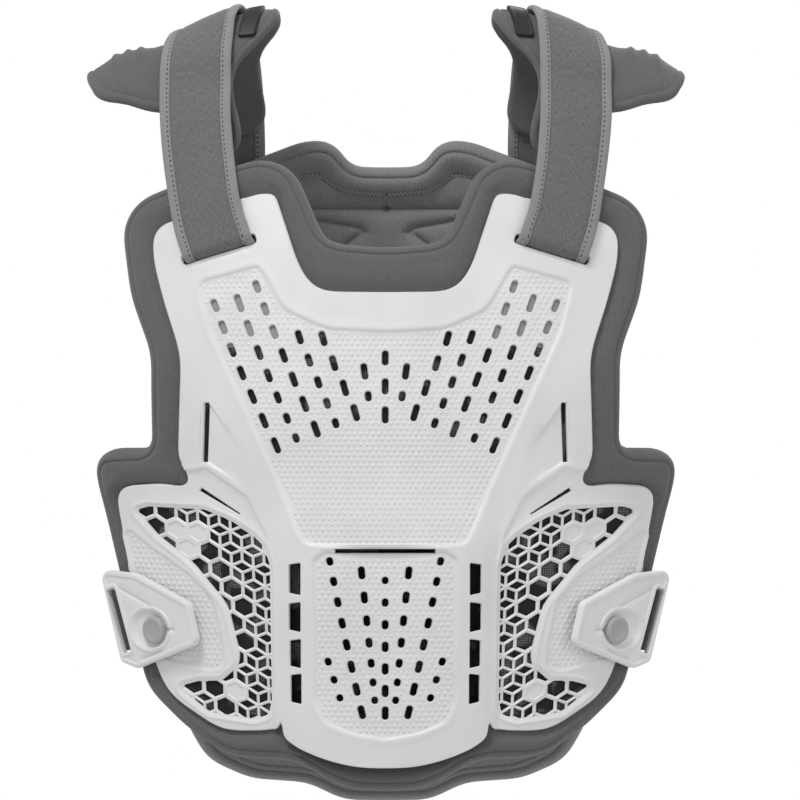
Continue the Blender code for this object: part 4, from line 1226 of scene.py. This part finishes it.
def ribbon(name, middles, ways, section, finish, wave=0.0, draped=False):
    """A strap through its middles, its width along ways, with a pattern of across and length."""
    loop = [(-a, b) for a, b in section] + section[::-1]
    loop += [(a, -b) for a, b in loop[::-1] if b > 0]
    along = np.gradient(middles, axis=0)
    along /= np.linalg.norm(along, axis=1, keepdims=True)
    ways = ways - along * np.sum(ways * along, axis=1, keepdims=True)
    ways /= np.linalg.norm(ways, axis=1, keepdims=True)
    outward = np.cross(along, ways)
    length = np.concatenate([[0], np.cumsum(np.linalg.norm(np.diff(middles, axis=0), axis=1))])
    size = len(loop)
    ripple = wave * np.sin(length * 105.0 + 1.3 * np.sin(length * 41.0)) * smooth_step((length - 0.03) / 0.03)
    ripple *= smooth_step((length[-1] - 0.03 - length) / 0.03)
    points = np.array([middles + ways * a + outward * (b + ripple * (1 + a / 0.04))[:, None]
                       for a, b in loop]).transpose(1, 0, 2)
    if draped:
        share, middle = np.abs(points[:, :, 0]) / HALF_WIDTH, np.abs(middles[:, 0]) / HALF_WIDTH
        slope = (crown(middle + 0.01) - crown(middle - 0.01)) / 0.02
        sag = crown(share) - crown(middle)[:, None] - slope[:, None] * (share - middle[:, None])
        points[:, :, 2] += sag * smooth_step((middles[:, 2] + 0.070) / 0.060)[:, None]
    points = points.reshape(-1, 3)
    faces = []
    for index in range(1, len(middles)):
        first = (index - 1) * size
        for corner in range(size):
            other = (corner + 1) % size
            faces.append((first + corner, first + other, first + size + other, first + size + corner))
    faces.append(tuple(range(size - 1, -1, -1)))
    faces.append(tuple(range((len(middles) - 1) * size, len(middles) * size)))
    piece = make_piece(name, points, faces, finish, 40)
    layer = piece.data.uv_layers.new(name="pattern")
    for item in piece.data.loops:
        station, corner = divmod(item.vertex_index, size)
        layer.data[item.index].uv = (loop[corner][0], length[station])
    return piece


def strap_path(side):
    """Middles of the strap and its width directions, from the chest slot to the back slot."""
    seat = STRAP_SEAT_GAP + STRAP_WALL / 2
    middles, ways = [], []

    def add(surface, x, down, offset, slope):
        middle = surface.lift(np.array(x * side), np.array(down), offset)
        tip_x, tip_down = x + 0.01 * math.cos(slope), down + 0.01 * math.sin(slope)
        tip = surface.lift(np.array(tip_x * side), np.array(tip_down), offset)
        middles.append(middle)
        ways.append((tip - middle) * side * 100)

    def slot_end(surface, slot, behind, turned):
        across, down, tilt = slot
        angle = math.radians(tilt)
        middle = np.array([across * HALF_WIDTH, down * TORSO_LENGTH])
        way = np.array([-math.sin(angle), math.cos(angle)])
        bend = 0.0090
        run = [(-0.85 * bend, seat), (-0.24 * bend, seat - 0.06 * bend), (-0.03 * bend, -0.10 * bend),
               (0, -behind)]
        for shift, offset in (reversed(run) if turned else run):
            add(surface, *(middle + way * shift), offset, angle)

    slot_end(CHEST, FRONT_SLOT, SHELL_WALL + MESH_WALL + LAYER_GAP, True)
    for across, down in reversed(STRAP_DOWN_CHEST):
        tilt = math.radians(FRONT_SLOT[2]) * (down - 0.17) / (FRONT_SLOT[1] - 0.17)
        add(CHEST, across * HALF_WIDTH, down * TORSO_LENGTH, seat, tilt)
    for turn, across in STRAP_OVER_SHOULDER:
        add(SHOULDER, across * HALF_WIDTH, turn * SHOULDER_ARCH_LENGTH, seat, 0)
    for across, down in STRAP_DOWN_BACK:
        add(BACK, across * HALF_WIDTH, down * TORSO_LENGTH, seat, 0)
    slot_end(BACK, REAR_SLOT, SHELL_WALL, False)
    return spline(middles, ways)


def strap_cloth():
    """Brushed heather cloth between two ribbed bindings, each with a dark stitch row beside it."""
    finish, tree, shader = new_material("strap_cloth", (0.17, 0.172, 0.165), 0.95)
    place = pattern_input(tree, 1.0)
    split = tree.nodes.new("ShaderNodeSeparateXYZ")
    tree.links.new(place, split.inputs["Vector"])
    side = add_math(tree, "ABSOLUTE", split.outputs["X"])
    edge = STRAP_WIDTH / 2 - BINDING_WIDTH
    binding = spread_mask(tree, side, edge - 0.0002, edge + 0.0004)
    brushed = tree.nodes.new("ShaderNodeMapping")
    brushed.inputs["Scale"].default_value = (1.0, 0.22, 1.0)
    tree.links.new(place, brushed.inputs["Vector"])
    nap = add_noise(tree, brushed.outputs["Vector"], 1300.0, 4.0, 0.7)
    brushing = spread_mask(tree, nap, 0.30, 0.72)
    cloth = mix_colours(tree, brushing, (0.085, 0.086, 0.082), (0.220, 0.222, 0.214))
    ribs = add_wave(tree, place, BINDING_RIB, "Y", 0.6)
    edging = mix_colours(tree, ribs, (0.235, 0.237, 0.230), (0.330, 0.332, 0.322))
    beside = add_math(tree, "COMPARE", side, edge + 0.0019, 0.0005)
    dash = add_math(tree, "PINGPONG", split.outputs["Y"], STITCH_PITCH / 2)
    stitch = add_math(tree, "MULTIPLY", beside, add_math(tree, "GREATER_THAN", dash, STITCH_PITCH * 0.30))
    bound = mix_colours(tree, binding, cloth, edging)
    tree.links.new(mix_colours(tree, stitch, bound, (0.045, 0.045, 0.044)), shader.inputs["Base Color"])
    height = tree.nodes.new("ShaderNodeMix")
    height.data_type = "FLOAT"
    tree.links.new(binding, height.inputs["Factor"])
    tree.links.new(nap, height.inputs["A"])
    tree.links.new(ribs, height.inputs["B"])
    shader.inputs["Sheen Weight"].default_value = 0.3
    add_bump(tree, shader, height.outputs["Result"], 0.5, 0.0006)
    return finish


heather = strap_cloth()
for side, word in SIDES:
    strap = ribbon("strap_band_" + word, *strap_path(side), STRAP_SECTION, heather, 0.0006, True)
    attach(strap, "root")
    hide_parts("shoulder_strap_" + word)


# Strap tails
# The light webbing tail of each strap, sewn flat behind the shell below its slot, where it shows
# through the upper vents.
TAIL_LENGTH = 0.074
TAIL_WALL = 0.0016
TAIL_GAP = 0.0006
tail_cloth = knit_cloth("tail_webbing", (0.300, 0.300, 0.290), (0.420, 0.420, 0.410), 0.0014)
half_strap = STRAP_WIDTH / 2
tail_corners = np.array([(-half_strap, 0.004), (half_strap, 0.004), (half_strap, TAIL_LENGTH - 0.006),
                         (-half_strap, TAIL_LENGTH)])
tail_outline = tail_corners @ turned_by(FRONT_SLOT[2]).T
tail_outline += (FRONT_SLOT[0] * HALF_WIDTH, FRONT_SLOT[1] * TORSO_LENGTH)
for side, word in SIDES:
    tail = laid_wall("strap_tail_" + word, CHEST, tail_outline * (side, 1.0), tail_cloth,
                     level(-SHELL_WALL - TAIL_GAP), level(-SHELL_WALL - TAIL_GAP - TAIL_WALL), 0.008)
    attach(tail, "root")


# Side buckles
# A moulded plate of the shell's plastic on each wing, with a raised rim, a slot for the waist strap,
# an oval dish for the knob, and a narrow groove above it.
BUCKLE_LENGTH = 0.094
BUCKLE_WALL = 0.0050
BUCKLE_STANDOFF = 0.0008
BUCKLE_MIDDLE = (0.853, 0.787)
BUCKLE_CORNERS = [
    (0.512, -0.472, 0.075), (0.130, -0.448, 0.110), (-0.418, -0.243, 0.065),
    (-0.505, 0.070, 0.065), (0.135, 0.296, 0.085), (0.304, 0.250, 0.065),
]
BUCKLE_DISH = (-0.006, -0.022, 0.213, 0.164)
BUCKLE_DISH_DEPTH = 0.0032
BUCKLE_KNOB = (-0.055, -0.016)
BUCKLE_SLOT = (0.318, -0.074, 18.3)
WAIST_STRAP_WIDTH = 0.046
WAIST_STRAP_WALL = 0.0022
WAIST_SLOT_WIDTH = 0.0085
WAIST_SLOT_SPARE = 0.0030
# Grooves moulded in the plate. Columns: path outwards and down in metres, depth, half width
BUCKLE_MARKS = [
    (np.array([(0.0290, -0.0305), (-0.0008, -0.0190)]), 0.0013, 0.0011),
    (np.array([(0.0066, 0.0203), (-0.0116, 0.0135)]), 0.0016, 0.0013),
    (np.array([(-0.0150, -0.0018), (-0.0240, -0.0025)]), 0.0018, 0.0013),
]


def buckle_plane(side):
    across, down = BUCKLE_MIDDLE
    x, level_down = np.array(across * HALF_WIDTH * side), np.array(down * TORSO_LENGTH)
    middle = CHEST.point(x, level_down)
    normal = CHEST.normal(x, level_down)
    outwards = np.cross([0, 0, -1], normal)
    outwards *= math.copysign(1.0, outwards[0] * side) / np.linalg.norm(outwards)
    downwards = np.cross(normal, outwards)
    downwards *= -math.copysign(1.0, downwards[2])

    def point(u, v):
        return middle + outwards * np.asarray(u)[..., None] + downwards * np.asarray(v)[..., None]

    plane = Surface(point, 1)
    if plane.normal(np.array(0.0), np.array(0.0))[1] > 0:
        plane.outward = -1
    return plane


def oval(x, y, wide, high, sides=40):
    turn = np.arange(sides) * 2 * math.pi / sides
    return np.stack([x + wide * np.cos(turn), y + high * np.sin(turn)], axis=1)


buckle_outline = rounded([tuple(value * BUCKLE_LENGTH for value in row) for row in BUCKLE_CORNERS])
slot_turn = turned_by(BUCKLE_SLOT[2])
slot_middle = np.array(BUCKLE_SLOT[:2]) * BUCKLE_LENGTH
half_slot = np.array([WAIST_SLOT_WIDTH / 2, (WAIST_STRAP_WIDTH + WAIST_SLOT_SPARE) / 2])
buckle_slot = rounded([(*(slot_turn @ (half_slot * corner) + slot_middle), 0.0018)
                       for corner in ((1, -1), (-1, -1), (-1, 1), (1, 1))], arc=math.radians(30))
dish_x, dish_y, dish_wide, dish_high = (value * BUCKLE_LENGTH for value in BUCKLE_DISH)
BUCKLE_FACE = BUCKLE_STANDOFF + BUCKLE_WALL
BUCKLE_RIM = 0.0004


def buckle_top(flat, at_edge):
    depth = depth_inside(flat, buckle_outline)
    around = -depth_inside(flat, buckle_slot)
    share = np.sqrt(((flat[:, 0] - dish_x) / dish_wide) ** 2 + ((flat[:, 1] - dish_y) / dish_high) ** 2)
    dish = BUCKLE_DISH_DEPTH * smooth_step((1.0 - share) / 0.26)
    field = 0.0009 * smooth_step((depth - 0.0030) / 0.0010) * smooth_step((around - 0.0022) / 0.0010)
    field = field * smooth_step((share - 1.06) / 0.05)
    marks = sum(crease(path_distance(flat, line), deep, wide) for line, deep, wide in BUCKLE_MARKS)
    proud = BUCKLE_FACE + BUCKLE_RIM - dish - field - marks
    return proud - roll(depth, 0.0014) - roll(np.maximum(around, 0.0), 0.0010)


buckle_lines = edge_rings(buckle_outline, (0.0003, 0.0008, 0.0014, 0.0030, 0.0040), 0.004)
buckle_lines += [(inset(buckle_slot, -distance), True) for distance in (0.0004, 0.0010, 0.0022, 0.0032)]
buckle_lines += [(oval(dish_x, dish_y, dish_wide * share, dish_high * share), True)
                 for share in (1.11, 1.06, 1.0, 0.92, 0.84)]
for line, deep, wide in BUCKLE_MARKS:
    way = (line[1] - line[0]) / np.linalg.norm(line[1] - line[0])
    for shift in (-2.0, -1.0, 0.0, 1.0, 2.0):
        moved = line + np.array([-way[1], way[0]]) * wide * shift
        buckle_lines.append((refine(moved, 0.0015, closed=False), False))
planes = {side: buckle_plane(side) for side in (1, -1)}
for side, word in SIDES:
    plate = laid_wall("buckle_plate_" + word, planes[side], buckle_outline, white_plastic, buckle_top,
                      level(BUCKLE_STANDOFF), 0.0035, cuts=[(buckle_slot, None)], lines=buckle_lines,
                      angle=38)
    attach(plate, "root")
    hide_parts("side_buckle_" + word)


# Buckle knobs
# A turned plastic button in each dish that locks the waist strap, with a shallow dished top.
KNOB_RADIUS = 0.0103
KNOB_HEIGHT = 0.0042
KNOB_SEAT_GAP = 0.0004
# The knob's profile. Columns: radius in knob radii, height in knob heights
KNOB_PROFILE = [(1.0, 0.0), (1.0, 0.55), (0.97, 0.80), (0.90, 0.95), (0.82, 1.0), (0.70, 1.0), (0.62, 0.90),
                (0.50, 0.80), (0.25, 0.74), (0.0, 0.72)]
knob_plastic = new_material("knob_plastic", (0.43, 0.43, 0.42), 0.42)[0]
for side, word in SIDES:
    floor_height = BUCKLE_FACE + BUCKLE_RIM - BUCKLE_DISH_DEPTH + KNOB_SEAT_GAP
    turns = 48
    angles = np.arange(turns) * 2 * math.pi / turns
    points, faces = [], []
    for share, tall in KNOB_PROFILE[:-1]:
        u = BUCKLE_KNOB[0] * BUCKLE_LENGTH + KNOB_RADIUS * share * np.cos(angles)
        v = BUCKLE_KNOB[1] * BUCKLE_LENGTH + KNOB_RADIUS * share * np.sin(angles)
        points.append(planes[side].lift(u, v, np.full(turns, floor_height + KNOB_HEIGHT * tall)))
    middle = np.array(BUCKLE_KNOB)[:, None] * BUCKLE_LENGTH
    tip = planes[side].lift(*middle, np.array([floor_height + KNOB_HEIGHT * KNOB_PROFILE[-1][1]]))
    points = np.vstack(points + [tip])
    last = len(KNOB_PROFILE) - 2
    for ring in range(last):
        for turn in range(turns):
            other = (turn + 1) % turns
            low, high = ring * turns, (ring + 1) * turns
            faces.append((low + turn, low + other, high + other, high + turn))
    faces += [(last * turns + turn, last * turns + (turn + 1) % turns, (last + 1) * turns)
              for turn in range(turns)]
    faces.append(tuple(range(turns - 1, -1, -1)))
    knob = make_piece("knob_button_" + word, points, faces, knob_plastic, 40)
    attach(knob, "root")
    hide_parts("buckle_knob_" + word)


# Waist straps
# Woven webbing, 46 mm wide and 2 mm thick, from each buckle's slot round the waist to the back shell.
WAIST_SEAT_GAP = 0.0013
WAIST_FREE_RUN = [(0.996, 0.100), (0.992, 0.134), (0.980, 0.160)]
WAIST_ON_BACK = [0.940, 0.895, 0.850, 0.805, 0.760, 0.715]
WAIST_DOWN = 0.780
WAIST_SECTION = [(0.0230, 0.0000), (0.0229, 0.0006), (0.0224, 0.0010), (0.0210, 0.0011), (0.0070, 0.0011)]


def webbing():
    finish, tree, shader = new_material("waist_webbing", (0.15, 0.15, 0.145), 0.85)
    weave = tree.nodes.new("ShaderNodeTexBrick")
    weave.inputs["Scale"].default_value = 1.0
    weave.inputs["Color1"].default_value = (0.17, 0.172, 0.165, 1.0)
    weave.inputs["Color2"].default_value = (0.13, 0.131, 0.126, 1.0)
    weave.inputs["Mortar"].default_value = (0.06, 0.06, 0.058, 1.0)
    weave.inputs["Mortar Size"].default_value = 0.08
    weave.inputs["Brick Width"].default_value = 0.9
    weave.inputs["Row Height"].default_value = 0.45
    tree.links.new(pattern_input(tree, 1.0 / 0.0030), weave.inputs["Vector"])
    tree.links.new(weave.outputs["Color"], shader.inputs["Base Color"])
    add_bump(tree, shader, weave.outputs["Fac"], -0.5, 0.0004)
    return finish


waist_webbing = webbing()
for side, word in SIDES:
    plane = planes[side]
    heights = (BUCKLE_STANDOFF + BUCKLE_WALL * 0.7, BUCKLE_STANDOFF, -BUCKLE_WALL * 0.7)
    middles = [plane.lift(slot_middle[0], slot_middle[1], height) for height in heights]
    end = slot_middle + slot_turn @ np.array([0, 0.01])
    slot_way = (plane.lift(*end, 0) - plane.lift(*slot_middle, 0)) * 100
    ways = [slot_way] * 3
    upright = np.array([0.0, 0.0, -1.0])
    level_z = -WAIST_DOWN * TORSO_LENGTH
    for index, (across, depth) in enumerate(WAIST_FREE_RUN, 1):
        share = index / len(WAIST_FREE_RUN)
        middles.append(np.array([across * HALF_WIDTH * side, depth - CHEST_FRONT,
                                 middles[0][2] + (level_z - middles[0][2]) * share]))
        ways.append(slot_way * (1 - share ** 3) + upright * share ** 3)
    for across in WAIST_ON_BACK:
        middles.append(BACK.lift(np.array(across * HALF_WIDTH * side), np.array(-level_z),
                                 WAIST_SEAT_GAP + WAIST_STRAP_WALL / 2))
        ways.append(upright)
    strap = ribbon("waist_web_" + word, *spline(middles, ways), WAIST_SECTION, waist_webbing)
    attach(strap, "root")
    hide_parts("waist_strap_" + word)
